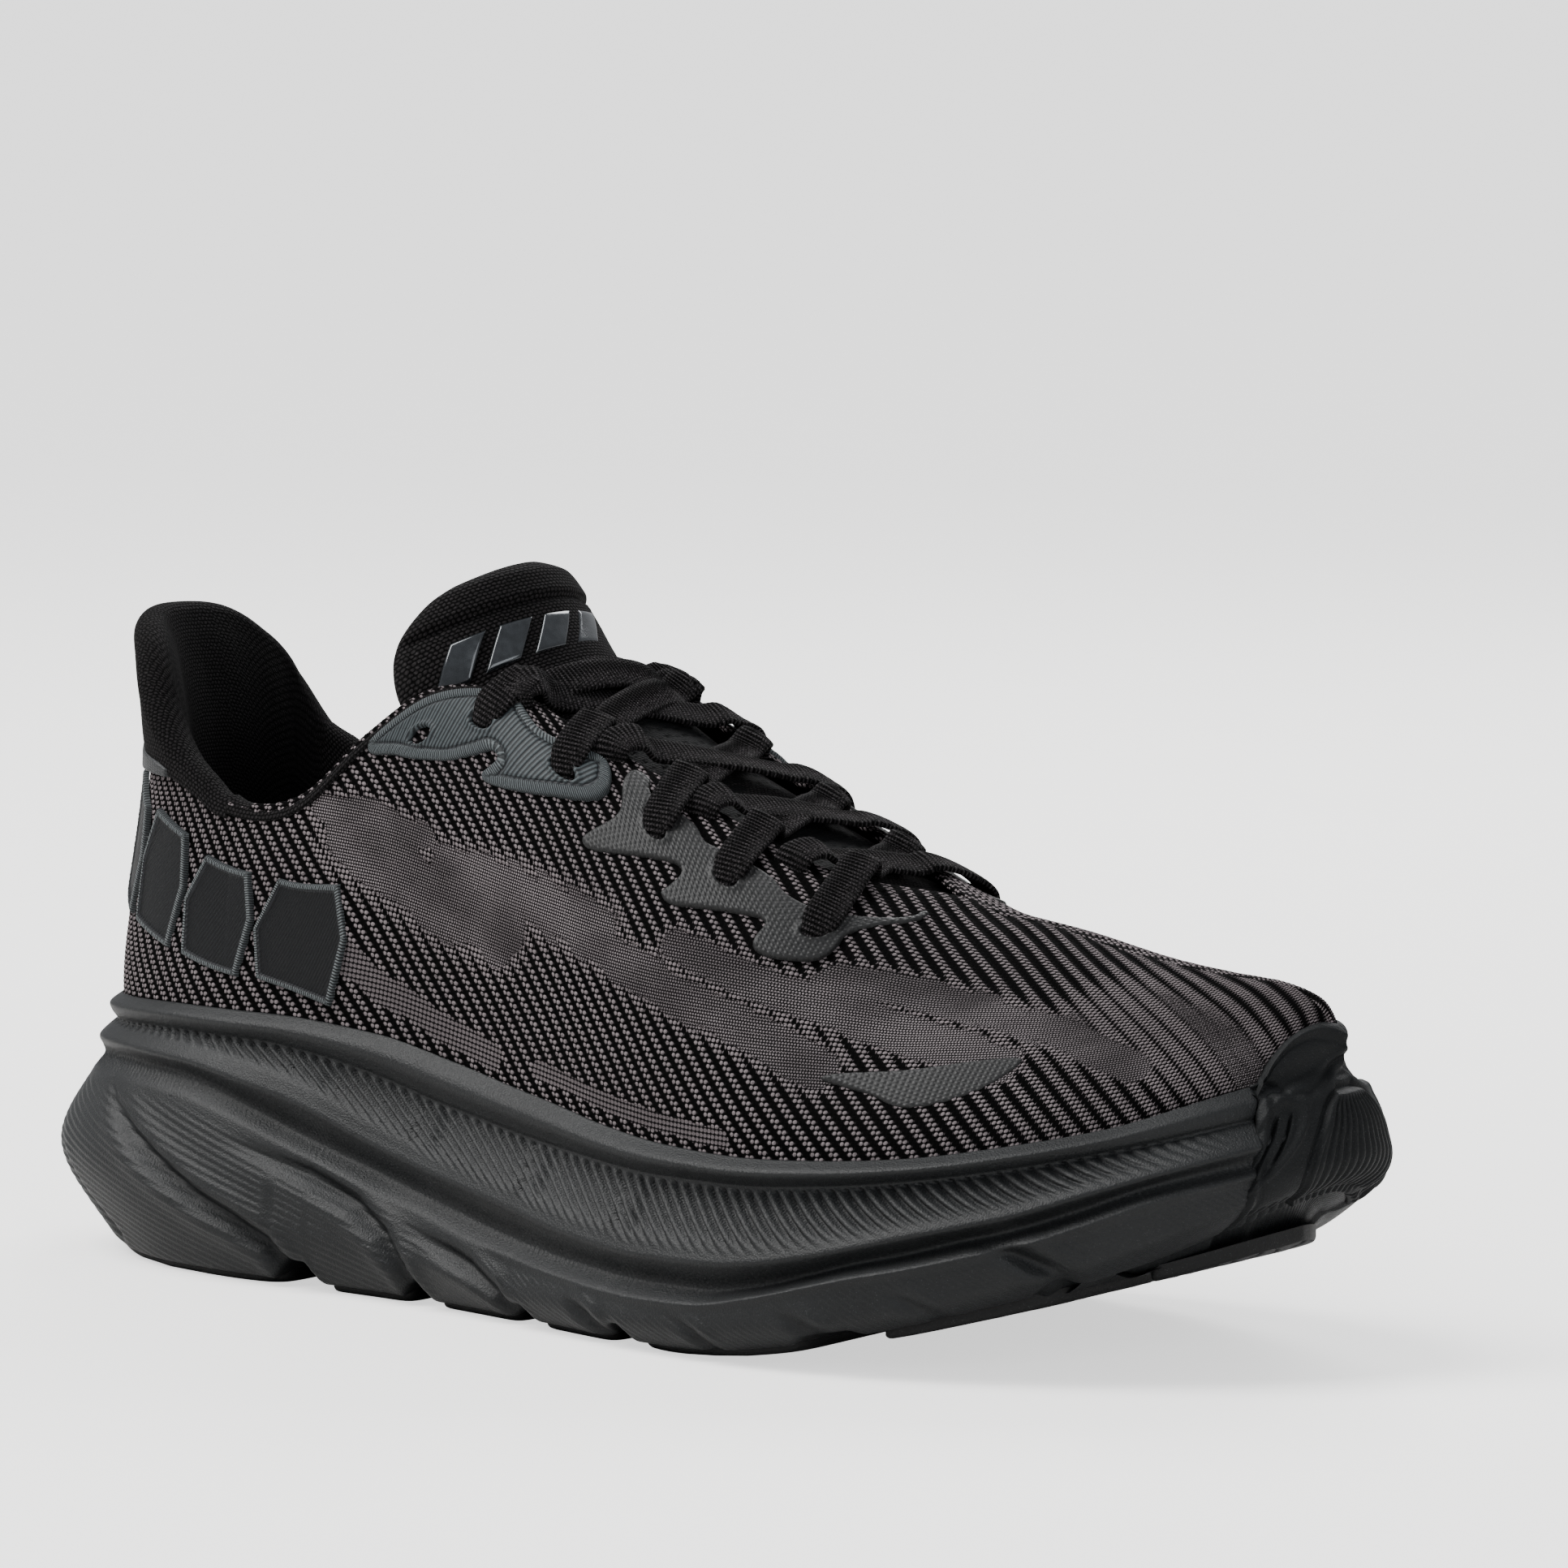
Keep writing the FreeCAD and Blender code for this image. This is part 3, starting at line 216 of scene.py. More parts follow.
def loop_at(points, at):
    """Closed Catmull-Rom through points, at counted in points."""
    i = np.floor(at).astype(int)
    f = (at - i)[..., None]
    return catmull(*(points[(i + k) % len(points)] for k in (-1, 0, 1, 2)), f)


def open_at(points, at):
    """Open Catmull-Rom along the second-last axis of points, at counted in points."""
    count = points.shape[-2]
    i = np.clip(np.floor(at).astype(int), 0, count - 2)
    f = (at - i)[..., None]
    return catmull(*(points[..., np.clip(i + k, 0, count - 1), :] for k in (-1, 0, 1, 2)), f)


def resample(points, count):
    return open_at(points, np.linspace(0, points.shape[-2] - 1, count))


def ease(x):
    x = np.clip(x, 0.0, 1.0)
    return x * x * (3 - 2 * x)


def ramp(x, start, end):
    """0 before start, 1 after end, smooth in between."""
    return ease((x - start) / (end - start))


def bell(x, width):
    return np.exp(-(x / width) ** 2)


def wave(x, pitch):
    return np.cos(TAU * x / pitch)


def crests(x, pitch):
    """A wave between 0 and 1."""
    return 0.5 + 0.5 * wave(x, pitch)


def round_edge(x):
    """Quarter circle rising from 0 at x = 0 to 1 at x = 1."""
    return np.sqrt(1 - (1 - np.clip(x, 0, 1)) ** 2)


def unit(vectors, guard=0.0):
    return vectors / (np.linalg.norm(vectors, axis=-1, keepdims=True) + guard)


def run_length(points, axis=0):
    """Running length along one axis of a grid or path."""
    steps = np.linalg.norm(np.diff(points, axis=axis), axis=-1)
    return np.insert(np.cumsum(steps, axis=axis), 0, 0.0, axis=axis)


def interp_columns(at, known, values):
    return np.stack([np.interp(at, known, column) for column in values.T], -1)


def grid_normals(points):
    normals = np.cross(np.gradient(points, axis=0), np.gradient(points, axis=1))
    return unit(normals, 1e-12)


def line_distance(x, z, line):
    """Distance to a polyline, and how far along it (0 to 1) the nearest point is."""
    best, place = np.full(x.shape, 1e9), np.zeros(x.shape)
    count = len(line) - 1
    for k, ((x0, z0), (x1, z1)) in enumerate(zip(line[:-1], line[1:])):
        dx, dz = x1 - x0, z1 - z0
        t = np.clip(((x - x0) * dx + (z - z0) * dz) / (dx * dx + dz * dz), 0, 1)
        distance = np.hypot(x - x0 - t * dx, z - z0 - t * dz)
        nearer = distance < best
        best = np.where(nearer, distance, best)
        place = np.where(nearer, (k + t) / count, place)
    return best, place


# ---------------------------------------------------------------- the shoe's surfaces
def from_heel(lap):
    """Lap folded onto one side: 0 at the heel, 20 at the toe."""
    lap = np.asarray(lap) % 40
    return np.where(lap <= 20, lap, 40 - lap)


def outline_at(lap, inset=0.0):
    """x, y and outward normal of the outline moved in by inset."""
    lap = np.asarray(lap, float)
    point = loop_at(OUTLINE, lap)
    tangent = unit(loop_at(OUTLINE, lap + 0.02) - loop_at(OUTLINE, lap - 0.02))
    nx, ny = tangent[..., 1], -tangent[..., 0]
    return point[..., 0] - nx * inset, point[..., 1] - ny * inset, nx, ny


def skin(lap, level):
    """Outer face of the upper; below level 0 it goes down to the footbed."""
    lap, level = np.broadcast_arrays(np.asarray(lap, float), np.asarray(level, float))
    x, y, nx, ny = outline_at(lap)
    normal = np.stack([nx, ny, 0 * nx], -1)
    inset = curve(TOP_IN, x) + 0.6
    foot = np.stack([x, y, curve(TOP_Z, x) - BITE_DEPTH], -1) - normal * inset[..., None]
    edge = loop_at(UPPER_EDGE, lap)
    low, lean, high, steep, tuck = np.moveaxis(loop_at(SECTIONS, lap), -1, 0)[..., None]
    steep = np.clip(steep, 0, 1)
    flat = np.sqrt(np.maximum(0.0, 1 - steep * steep))
    out = unit((foot - edge) * (1 - UP), 1e-9)
    handle_low = foot + low * (normal * lean + UP)
    handle_high = edge + out * high * flat - normal * tuck - UP * high * steep
    t = np.clip(level, 0, 1)[..., None]
    s = 1 - t
    points = (s ** 3 * foot + 3 * s * s * t * handle_low + 3 * s * t * t * handle_high
              + t ** 3 * edge)
    points[..., 2] += np.minimum(level, 0.0) / 0.3 * (foot[..., 2] - curve(FOOTBED_Z, x) - 2.0)
    return points


def skin_normal(lap, level):
    along = skin(lap + 0.03, level) - skin(lap - 0.03, level)
    upward = skin(lap, np.clip(level + 0.01, 0, 1)) - skin(lap, np.clip(level - 0.01, 0, 1))
    return unit(np.cross(along, upward), 1e-12)


def skin_in(lap, level, depth):
    """Points depth mm inside the upper's face; a negative depth is outside."""
    return skin(lap, level) - skin_normal(lap, level) * np.asarray(depth, float)[..., None]


HALF_LAP = np.linspace(0, 20, 2001)


def side_run(lap):
    """Lengths along one side of the outline, set to 40 mm at outline point 4 (x = 40)."""
    length = run_length(np.stack(outline_at(lap)[:2], -1))
    return length - (np.interp(4.0, HALF_LAP, length) - 40.0)


LATERAL_RUN, MEDIAL_RUN = side_run(HALF_LAP), side_run(40 - HALF_LAP)


def outline_run(lap):
    """Distance along the outline from the heel, on either side."""
    lap = np.asarray(lap, float) % 40.0
    return np.where(lap <= 20, np.interp(lap, HALF_LAP, LATERAL_RUN),
                    np.interp(40 - lap, HALF_LAP, MEDIAL_RUN))


def side_lines(insets, extra):
    """y of the moved-in outline's two sides as functions of x, and its first and last x."""
    sides = []
    half = np.linspace(0, 20, 1200)
    for lap in (half, 40 - half):
        x, y = outline_at(lap, curve(insets, outline_at(lap)[0]) + extra)[:2]
        order = np.argsort(x)
        sides.append((x[order], y[order]))
    lateral, medial = (lambda at, side=side: np.interp(at, *side) for side in sides)
    first = max(x[0] for x, _ in sides) + 0.05
    last = min(x[-1] for x, _ in sides) - 0.05
    return lateral, medial, first, last


def span_grid(insets, extra, rows, columns, reach=None):
    """x and y grids from side to side, the share across, the middle y and the width."""
    lateral, medial, first, last = side_lines(insets, extra)
    x = np.clip(np.linspace(*(reach or (first, last)), rows), first, last)
    left, right = lateral(x)[:, None], medial(x)[:, None]
    share = np.linspace(0, 1, columns)[None]
    y = left + (right - left) * share
    return np.broadcast_to(x[:, None], y.shape), y, share, 0.5 * (left + right), right - left


# ---------------------------------------------------------------- mesh building
def add_faces(mesh, quads=(), tris=()):
    """Append smooth faces to a mesh, quads first."""
    quads = np.asarray(quads, np.int32).reshape(-1, 4)
    tris = np.asarray(tris, np.int32).reshape(-1, 3)
    corners, faces = len(mesh.loops), len(mesh.polygons)
    mesh.loops.add(quads.size + tris.size)
    index = np.empty(len(mesh.loops), np.int32)
    mesh.loops.foreach_get("vertex_index", index)
    index[corners:] = np.concatenate([quads.ravel(), tris.ravel()])
    mesh.loops.foreach_set("vertex_index", index)
    mesh.polygons.add(len(quads) + len(tris))
    start = np.empty(len(mesh.polygons), np.int32)
    mesh.polygons.foreach_get("loop_start", start)
    start[faces:] = corners + np.concatenate(
        [np.arange(len(quads)) * 4, quads.size + np.arange(len(tris)) * 3])
    mesh.polygons.foreach_set("loop_start", start)
    mesh.polygons.foreach_set("use_smooth", np.ones(len(mesh.polygons), bool))
    mesh.update(calc_edges=True)


def new_mesh(name, points, mat, quads=(), tris=(), mm=None, extra=None):
    """Object from points in mm. mm is the flat 2D place of each point, for the materials."""
    mesh = bpy.data.meshes.new(name)
    count = len(points)
    mesh.vertices.add(count)
    mesh.vertices.foreach_set("co", to_frame(points).astype(np.float32).ravel())
    add_faces(mesh, quads, tris)
    if mm is not None:
        flat = np.zeros((count, 3), np.float32)
        flat[:, :2] = mm
        attribute = mesh.attributes.new("mm", "FLOAT_VECTOR", "POINT")
        attribute.data.foreach_set("vector", flat.ravel())
    for key, values in (extra or {}).items():
        attribute = mesh.attributes.new(key, "FLOAT", "POINT")
        attribute.data.foreach_set("value", np.asarray(values, np.float32).ravel())
    mesh.validate()
    obj = bpy.data.objects.new(name, mesh)
    bpy.context.scene.collection.objects.link(obj)
    mesh.materials.append(mat)
    return obj


def grid_quads(rows, columns, close_rows=False, close_columns=False):
    i, j = np.meshgrid(np.arange(rows if close_rows else rows - 1),
                       np.arange(columns if close_columns else columns - 1), indexing="ij")
    i2, j2 = (i + 1) % rows, (j + 1) % columns
    corners = [i * columns + j, i2 * columns + j, i2 * columns + j2, i * columns + j2]
    return np.stack(corners, -1).reshape(-1, 4)


def grid_mesh(name, points, mat, mm=None, extra=None, close=(False, False), flip=False):
    """Object from a (rows, columns, 3) grid; close tells which axes wrap round."""
    quads = grid_quads(*points.shape[:2], *close)
    return new_mesh(name, points.reshape(-1, 3), mat, quads[:, ::-1] if flip else quads,
                    mm=None if mm is None else mm.reshape(-1, 2), extra=extra)


def outward(obj, away_from=None, along=None):
    """Turn the faces away from a point in mm (the mesh's own middle if none) or along a way."""
    mesh = obj.data
    count = len(mesh.polygons)
    centre, normal, area = np.empty(count * 3), np.empty(count * 3), np.empty(count)
    mesh.polygons.foreach_get("center", centre)
    mesh.polygons.foreach_get("normal", normal)
    mesh.polygons.foreach_get("area", area)
    centre, normal = centre.reshape(-1, 3), normal.reshape(-1, 3)
    if along is not None:
        way = np.asarray(along, float)[None]
    else:
        way = centre - (centre.mean(0) if away_from is None else to_frame(away_from))
    if (area[:, None] * normal * way).sum() < 0:
        mesh.flip_normals()
    return obj


def shell_mesh(name, outer, inner, mat, mm):
    """Closed sheet between two grids, with end caps."""
    rows, columns = outer.shape[:2]
    obj = grid_mesh(name, np.concatenate([outer, inner[:, ::-1]], axis=1), mat,
                    np.concatenate([mm, mm[:, ::-1]], axis=1), close=(False, True))
    ring = 2 * columns
    caps = []
    for base, order in ((0, 1), ((rows - 1) * ring, -1)):
        for j in range(columns - 1):
            cap = [base + j, base + j + 1, base + ring - 2 - j, base + ring - 1 - j]
            caps.append(cap[::order])
    add_faces(obj.data, caps)
    obj.data.validate()
    return outward(obj)


def flex(obj):
    """Bake the piece's transform into its mesh."""
    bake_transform(obj)


def assign(obj, slot, *parts):
    """The material slot, which is not used, and the CAD parts the piece stands in for, which it
    hides.
    """
    if parts:
        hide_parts(*parts)


# ---------------------------------------------------------------- shader building
class Value:
    """A shader socket that takes part in arithmetic."""

    def __init__(self, mat, socket):
        self.mat, self.socket = mat, socket

    def math(self, operation, other=None, clamp=False):
        inputs = {0: self} if other is None else {0: self, 1: other}
        return self.mat.node("Math", inputs, operation=operation, use_clamp=clamp)

    def __add__(self, other):
        return self.math("ADD", other)

    def __sub__(self, other):
        return self.math("SUBTRACT", other)

    def __rsub__(self, other):
        return self.math("MULTIPLY", -1.0).math("ADD", other)

    def __mul__(self, other):
        return self.math("MULTIPLY", other)

    def __truediv__(self, other):
        return self.math("DIVIDE", other)

    def sin(self):
        return self.math("SINE")

    def fract(self):
        return self.math("FRACT")

    def floor(self):
        return self.math("FLOOR")

    def abs(self):
        return self.math("ABSOLUTE")

    def clamp(self):
        return self.math("ADD", 0.0, clamp=True)

    def wave(self):
        """0 to 1, once per unit."""
        return (self * TAU).sin() * 0.5 + 0.5

    def ramp(self, start, end):
        return self.mat.node("MapRange", {"Value": self, "From Min": start, "From Max": end},
                             out="Result", interpolation_type="SMOOTHSTEP")


class Mat:
    """One procedural material under construction."""

    def __init__(self, name, rough, spec, metal=0.0, sheen=0.0, coat=0.0):
        self.material = bpy.data.materials.new(name)
        self.material.use_nodes = True
        self.tree = self.material.node_tree
        self.shader = self.tree.nodes["Principled BSDF"]
        for socket, value in (("Roughness", rough), ("Specular IOR Level", spec),
                              ("Metallic", metal), ("Sheen Weight", sheen),
                              ("Sheen Roughness", 0.5), ("Coat Weight", coat)):
            self.set(socket, value)

    def feed(self, socket, value):
        if isinstance(value, Value):
            self.tree.links.new(value.socket, socket)
        else:
            socket.default_value = (*value, 1.0) if isinstance(value, tuple) else value

    def set(self, socket, value):
        self.feed(self.shader.inputs[socket], value)

    def node(self, kind, inputs, out=0, **settings):
        node = self.tree.nodes.new("ShaderNode" + kind)
        for key, value in settings.items():
            setattr(node, key, value)
        for key, value in inputs.items():
            self.feed(node.inputs[key], value)
        return Value(self, node.outputs[out])

    def mm(self):
        """The piece's flat coordinates in mm: run along it and height up it."""
        flat = self.node("Attribute", {}, out="Vector", attribute_name="mm")
        self.run = self.node("SeparateXYZ", {0: flat})
        self.high = Value(self, self.run.socket.node.outputs[1])
        return self.run, self.high

    def attribute(self, name):
        return self.node("Attribute", {}, out="Fac", attribute_name=name)

    def object_mm(self):
        place = self.node("TexCoord", {}, out="Object")
        return self.node("VectorMath", {0: place, "Scale": 1000.0}, operation="SCALE")

    def vector(self, x, y):
        return self.node("CombineXYZ", {0: x, 1: y, 2: 0.0})

    def noise(self, place, scale, detail=2.0, rough=0.5):
        return self.node("TexNoise", {"Vector": place, "Scale": scale, "Detail": detail,
                                      "Roughness": rough})

    def flat_noise(self, scale, detail=2.0, rough=0.5):
        """Noise over the flat coordinates."""
        return self.noise(self.vector(self.run, self.high), scale, detail, rough)

    def mix(self, share, first, second):
        return self.node("Mix", {0: share, 6: first, 7: second}, out=2, data_type="RGBA")

    def bump(self, height, depth_mm, strength=0.9):
        self.set("Normal", self.node("Bump", {"Strength": strength, "Distance": depth_mm * MM,
                                              "Height": height}))


# ---------------------------------------------------------------- materials
def foam_material(name, dark, light, bump, rough, spec=0.26):
    """Speckled foam or rubber."""
    m = Mat(name, rough=rough, spec=spec)
    place = m.object_mm()
    grain = m.noise(place, scale=2.6, detail=3.0, rough=0.65)
    cells = m.node("TexVoronoi", {"Vector": place, "Scale": 2.4}, out="Distance")
    cloud = m.noise(place, scale=0.05)
    glint = (1.0 - cells.ramp(0.10, 0.26)) * m.noise(place, scale=1.1, detail=1.0).ramp(0.5, 0.62)
    lightness = (grain.ramp(0.35, 0.7) * 0.5 + cloud.ramp(0.3, 0.7) * 0.35).clamp()
    color = m.mix(lightness, dark, light)
    m.set("Base Color", m.mix(glint * 0.35, color, (0.09, 0.096, 0.10)))
    m.set("Roughness", (grain * 0.25 + (rough - 0.12)) - glint * 0.15)
    m.bump(grain * 0.8 + cells * 0.35, bump, strength=1.0)
    return m.material


def knit_material():
    """Knit in leaning two-tone stripes, with zones of fine mesh, plain courses and black."""
    m = Mat("knit", rough=0.85, spec=0.03)
    run, high = m.mm()
    mesh_zone, lean, row_zone, dark_zone = (
        m.attribute(key) for key in ("zone", "kk", "rows", "dark"))
    wobble = m.flat_noise(scale=0.25, detail=1.0) * 0.5
    courses = high / COURSE + wobble * 0.3
    course = courses.floor()
    off_course = courses.fract() - 0.5
    # each course steps the stripe along; from_mid is 1 at the black line, 0 mid stripe
    leaned = run + course * lean * COURSE
    from_mid = ((leaned / STRIPE).fract() - 0.5).abs() * 2.0
    off_loop = (leaned / (STRIPE / 4.0)).fract() - 0.5
    loop = 1.0 - (off_loop * off_loop * 3.2 + off_course * off_course * 3.6).clamp()
    grey = 1.0 - (from_mid - mesh_zone * 0.52).ramp(0.46, 0.60)
    jitter = m.flat_noise(scale=1.3, detail=1.0)
    grey_loops = (grey * loop.ramp(0.25, 0.6) * (jitter.ramp(0.2, 0.5) * 0.5 + 0.5)).clamp()
    # fine mesh: small staggered dots, 0.62 mm apart
    dot_x = (run / 0.62 + course * 0.5).fract() - 0.5
    dot_y = (high / 0.62).fract() - 0.5
    dots = (1.0 - ((dot_x * dot_x + dot_y * dot_y) * 5.0).clamp()).ramp(0.15, 0.75)
    # plain courses, broken into 1.9 mm segments
    ridge = 1.0 - (off_course.abs() * 2.0).ramp(0.62, 0.95)
    segment = 1.0 - ((run / 1.9 + course * 0.37).fract() - 0.5).abs().ramp(0.42, 0.5)
    plain = ridge * (segment * 0.45 + 0.55)
    striped = m.mix(grey_loops, (0.0010, 0.00095, 0.0010), (0.195, 0.168, 0.174))
    meshed = m.mix(dots, (0.0085, 0.0076, 0.0080), (0.235, 0.207, 0.214))
    plain_loops = (loop.ramp(0.15, 0.6) * (plain * 0.3 + 0.7)).clamp()
    coursed = m.mix(plain_loops, (0.0040, 0.0036, 0.0038), (0.125, 0.108, 0.112))
    # zones meet loop by loop and every stripe ends at its own length
    dither = jitter * 0.22 + loop * 0.14 - 0.18
    stripe_no = (leaned / STRIPE).floor()
    end_a = ((stripe_no * 12.9898).sin() * 437.585).fract() - 0.5
    end_b = ((stripe_no * 78.233).sin() * 937.11).fract() - 0.5
    is_mesh = (mesh_zone + dither + end_a * 0.40).ramp(0.62, 0.78)
    is_plain = (row_zone + dither + end_b * 0.45).ramp(0.56, 0.66)
    is_dark = (dark_zone + dither).ramp(0.42, 0.52)
    color = m.mix(is_mesh, striped, meshed)
    color = m.mix(is_plain, color, coursed)
    color = m.mix(is_dark, color, (0.010, 0.0095, 0.010))
    # painted glints as pale specks on the loops, dark fibres and slow shading
    fibre = m.flat_noise(scale=9.0)
    glint_specks = m.flat_noise(scale=3.1, detail=1.0).ramp(0.60, 0.72)
    glint_speck_share = (glint_specks * 0.30 * (grey_loops + is_mesh * dots).clamp()).clamp()
    # pale specks of painted glint on the grey loops and the mesh dots
    color = m.mix(glint_speck_share, color, (0.42, 0.385, 0.39))
    tone = m.noise(m.vector(run * 0.6, high), scale=0.05, detail=3.0).ramp(0.36, 0.64)
    color = m.mix(fibre.ramp(0.35, 0.75) * 0.35, color, (0.0015, 0.0015, 0.0015))
    color = m.mix(((1.0 - is_mesh) * 0.16 + is_mesh * 0.55) * tone, color,
                  (0.004, 0.0036, 0.0038))
    m.set("Base Color", color)
    height = (loop * (grey * 0.7 + 0.3)) * (1.0 - is_mesh) + dots * 0.28 * is_mesh
    height = height * (1.0 - is_plain) + plain * 0.6 * is_plain + fibre * 0.15
    m.bump(height, depth_mm=0.42)
    return m.material


def cloth_material(name, dark, light, pitch, bump, slant=0.5):
    """Knitted spacer cloth: short loops in staggered courses."""
    m = Mat(name, rough=0.85, spec=0.04, sheen=0.014)
    run, high = m.mm()
    wobble = m.flat_noise(scale=0.7)
    courses = high / pitch + wobble * 0.9
    course = courses.floor()
    off_course = courses.fract() - 0.5
    off_loop = (run / (pitch * 1.25) + course * slant + wobble * 0.6).fract() - 0.5
    loop = (1.0 - (off_loop * off_loop * 3.4 + off_course * off_course * 3.6)).clamp()
    fuzz = m.flat_noise(scale=2.2, detail=3.0, rough=0.7)
    lit = (loop.ramp(0.2, 0.85) * (fuzz.ramp(0.3, 0.75) * 0.75 + 0.25)).clamp()
    color = m.mix(lit, dark, light)
    glint = m.flat_noise(scale=5.0, detail=1.0).ramp(0.66, 0.76)
    m.set("Base Color", m.mix(glint * lit * 0.6, color, (0.13, 0.121, 0.125)))
    m.bump(loop * 0.8 + fuzz * 0.5, bump)
    return m.material


def lace_material():
    """Flat braid: ribs across the strand, broken into staggered stitches."""
    m = Mat("lace", rough=0.8, spec=0.04, sheen=0.01)
    run, high = m.mm()
    fuzz = m.flat_noise(scale=1.6, detail=3.0, rough=0.7)
    ribs = run / 0.95 + fuzz * 0.35
    rib = ribs.wave()
    stitch = (high / 0.62 + ribs.floor() * 0.5).wave()
    braid = rib * 0.65 + stitch * 0.35
    color = m.mix((braid.ramp(0.35, 0.9) * fuzz.ramp(0.3, 0.7)).clamp(),
                  (0.0011, 0.00105, 0.0011), (0.042, 0.038, 0.0395))
    glint = m.flat_noise(scale=4.2, detail=1.0).ramp(0.60, 0.70)
    m.set("Base Color", m.mix((glint * braid * 0.5).clamp(), color, (0.15, 0.138, 0.142)))
    m.bump(rib * 0.8 + stitch * 0.35 + fuzz * 0.25, depth_mm=0.34)
    return m.material


def thread_material(name, fill, line, dark, border, fill_pitch):
    """Embroidery: satin stitches square to the edge, then a diagonal fill inside the border."""
    m = Mat(name, rough=0.55, spec=0.2)
    run, high = m.mm()
    edge = m.attribute("edge")
    edge_run = m.attribute("bs")
    uneven = m.flat_noise(scale=2.0)
    satin = (edge_run / 0.52 + uneven * 0.25).wave()
    diagonal = ((run * 0.80 - high * 0.60) / fill_pitch + uneven * 0.15).wave()
    breaks = (((run * 0.60 + high * 0.80) / 2.6).fract() - 0.5).abs().ramp(0.40, 0.5)
    inside = edge.ramp(border - 0.1, border + 0.1)
    groove = 1.0 - (edge - border - 0.25).abs().ramp(0.10, 0.35)
    rim = 1.0 - edge.ramp(0.05, 0.5)
    border_color = m.mix(satin.ramp(0.15, 0.8), dark, line)
    fill_color = m.mix((diagonal.ramp(0.2, 0.85) * (1.0 - breaks * 0.35)).clamp(), dark, fill)
    color = m.mix(inside, border_color, fill_color)
    color = m.mix((groove * 0.75).clamp(), color, (0.012, 0.013, 0.015))
    m.set("Base Color", m.mix(rim * 0.6, color, (0.02, 0.022, 0.024)))
    m.bump(satin * (1.0 - inside) * 0.8 + diagonal * inside * 0.6 - groove * 0.9, depth_mm=0.22)
    return m.material


def film_material(name, dark, light, rough=0.5, pitch=1.15, spec=0.28):
    """Thin film with a woven print."""
    m = Mat(name, rough=rough, spec=spec)
    run, high = m.mm()
    uneven = m.flat_noise(scale=0.5)
    warp = (run / pitch + uneven * 0.2).wave()
    weft = ((high * 0.95 + run * 0.25) / (pitch * 0.8) + uneven * 0.2).wave()
    weave = warp * weft
    fine = m.flat_noise(scale=3.0)
    m.set("Base Color", m.mix((weave * 0.55 + fine * 0.35).clamp(), dark, light))
    m.set("Roughness", fine * 0.2 + (rough - 0.08))
    m.bump(weave * 0.9 + fine * 0.35, depth_mm=0.14)
    return m.material


def plain_material(name, dark, light, rough, bump, scale=1.5, metal=0.0, coat=0.0):
    m = Mat(name, rough=rough, spec=0.5, metal=metal, coat=coat)
    place = m.object_mm()
    grain = m.noise(place, scale=scale, detail=3.0, rough=0.6)
    cloud = m.noise(place, scale=0.08)
    lightness = (grain.ramp(0.3, 0.7) * 0.6 + cloud.ramp(0.3, 0.7) * 0.4).clamp()
    m.set("Base Color", m.mix(lightness, dark, light))
    m.set("Roughness", grain * 0.18 + (rough - 0.09))
    m.bump(grain, bump, strength=1.0)
    return m.material


FOAM = foam_material("midsole_foam", (0.0048, 0.0054, 0.0058), (0.0098, 0.0109, 0.0115),
                     bump=0.16, rough=0.48)
PAD_RUBBER = foam_material("outsole_rubber", (0.0014, 0.0015, 0.0016), (0.0034, 0.0036, 0.0038),
                           bump=0.08, rough=0.62)
TOE_RUBBER = foam_material("toe_rubber", (0.0042, 0.0047, 0.0050), (0.0086, 0.0095, 0.0100),
                           bump=0.16, rough=0.56, spec=0.14)
KNIT = knit_material()
LINING = cloth_material("lining_cloth", (0.0009, 0.0009, 0.0009), (0.0200, 0.0182, 0.0188),
                        pitch=0.8, bump=0.34)
TONGUE_CLOTH = cloth_material("tongue_cloth", (0.0010, 0.0010, 0.0010),
                              (0.0260, 0.0235, 0.0243), pitch=0.72, bump=0.32, slant=0.37)
# binding_cloth, eyelet_dark, padding_foam and stiffener are worn by no piece yet
cloth_material("binding_cloth", (0.0016, 0.0016, 0.0017), (0.014, 0.0126, 0.013),
               pitch=0.6, bump=0.25)
LACE = lace_material()
EYESTAY_THREAD = thread_material(
    "eyestay_thread", fill=(0.050, 0.060, 0.064), line=(0.082, 0.094, 0.098),
    dark=(0.0085, 0.0105, 0.0120), border=2.3, fill_pitch=0.78)
MARK_THREAD = thread_material(
    "mark_thread", fill=(0.0016, 0.0021, 0.0030), line=(0.105, 0.118, 0.122),
    dark=(0.0008, 0.0010, 0.0014), border=1.15, fill_pitch=0.7)
FILM = film_material("film", (0.0066, 0.0067, 0.0069), (0.0150, 0.0152, 0.0155))
GLOSS = plain_material("gloss_print", (0.018, 0.021, 0.024), (0.040, 0.045, 0.050),
                       rough=0.18, bump=0.03, scale=0.6, metal=0.6, coat=0.5)
plain_material("eyelet_dark", (0.0015, 0.0015, 0.0016), (0.003, 0.003, 0.003),
               rough=0.95, bump=0.05)
INSOLE_CLOTH = cloth_material("sockliner_cloth", (0.0035, 0.0035, 0.004), (0.012, 0.012, 0.013),
                              pitch=1.1, bump=0.2)
BOARD = plain_material("board", (0.06, 0.06, 0.06), (0.12, 0.12, 0.118), rough=0.9, bump=0.1)
STRIP_FILM = film_material("strip_film", (0.018, 0.019, 0.020), (0.034, 0.036, 0.038), pitch=1.0)
PANEL_FILM = film_material("panel_film", (0.0040, 0.0042, 0.0044), (0.0095, 0.0100, 0.0104),
                           rough=0.75, pitch=0.9, spec=0.06)
plain_material("padding_foam", (0.02, 0.02, 0.021), (0.05, 0.05, 0.052),
               rough=0.95, bump=0.25, scale=1.2)
plain_material("stiffener", (0.03, 0.03, 0.032), (0.06, 0.06, 0.062), rough=0.6, bump=0.05)

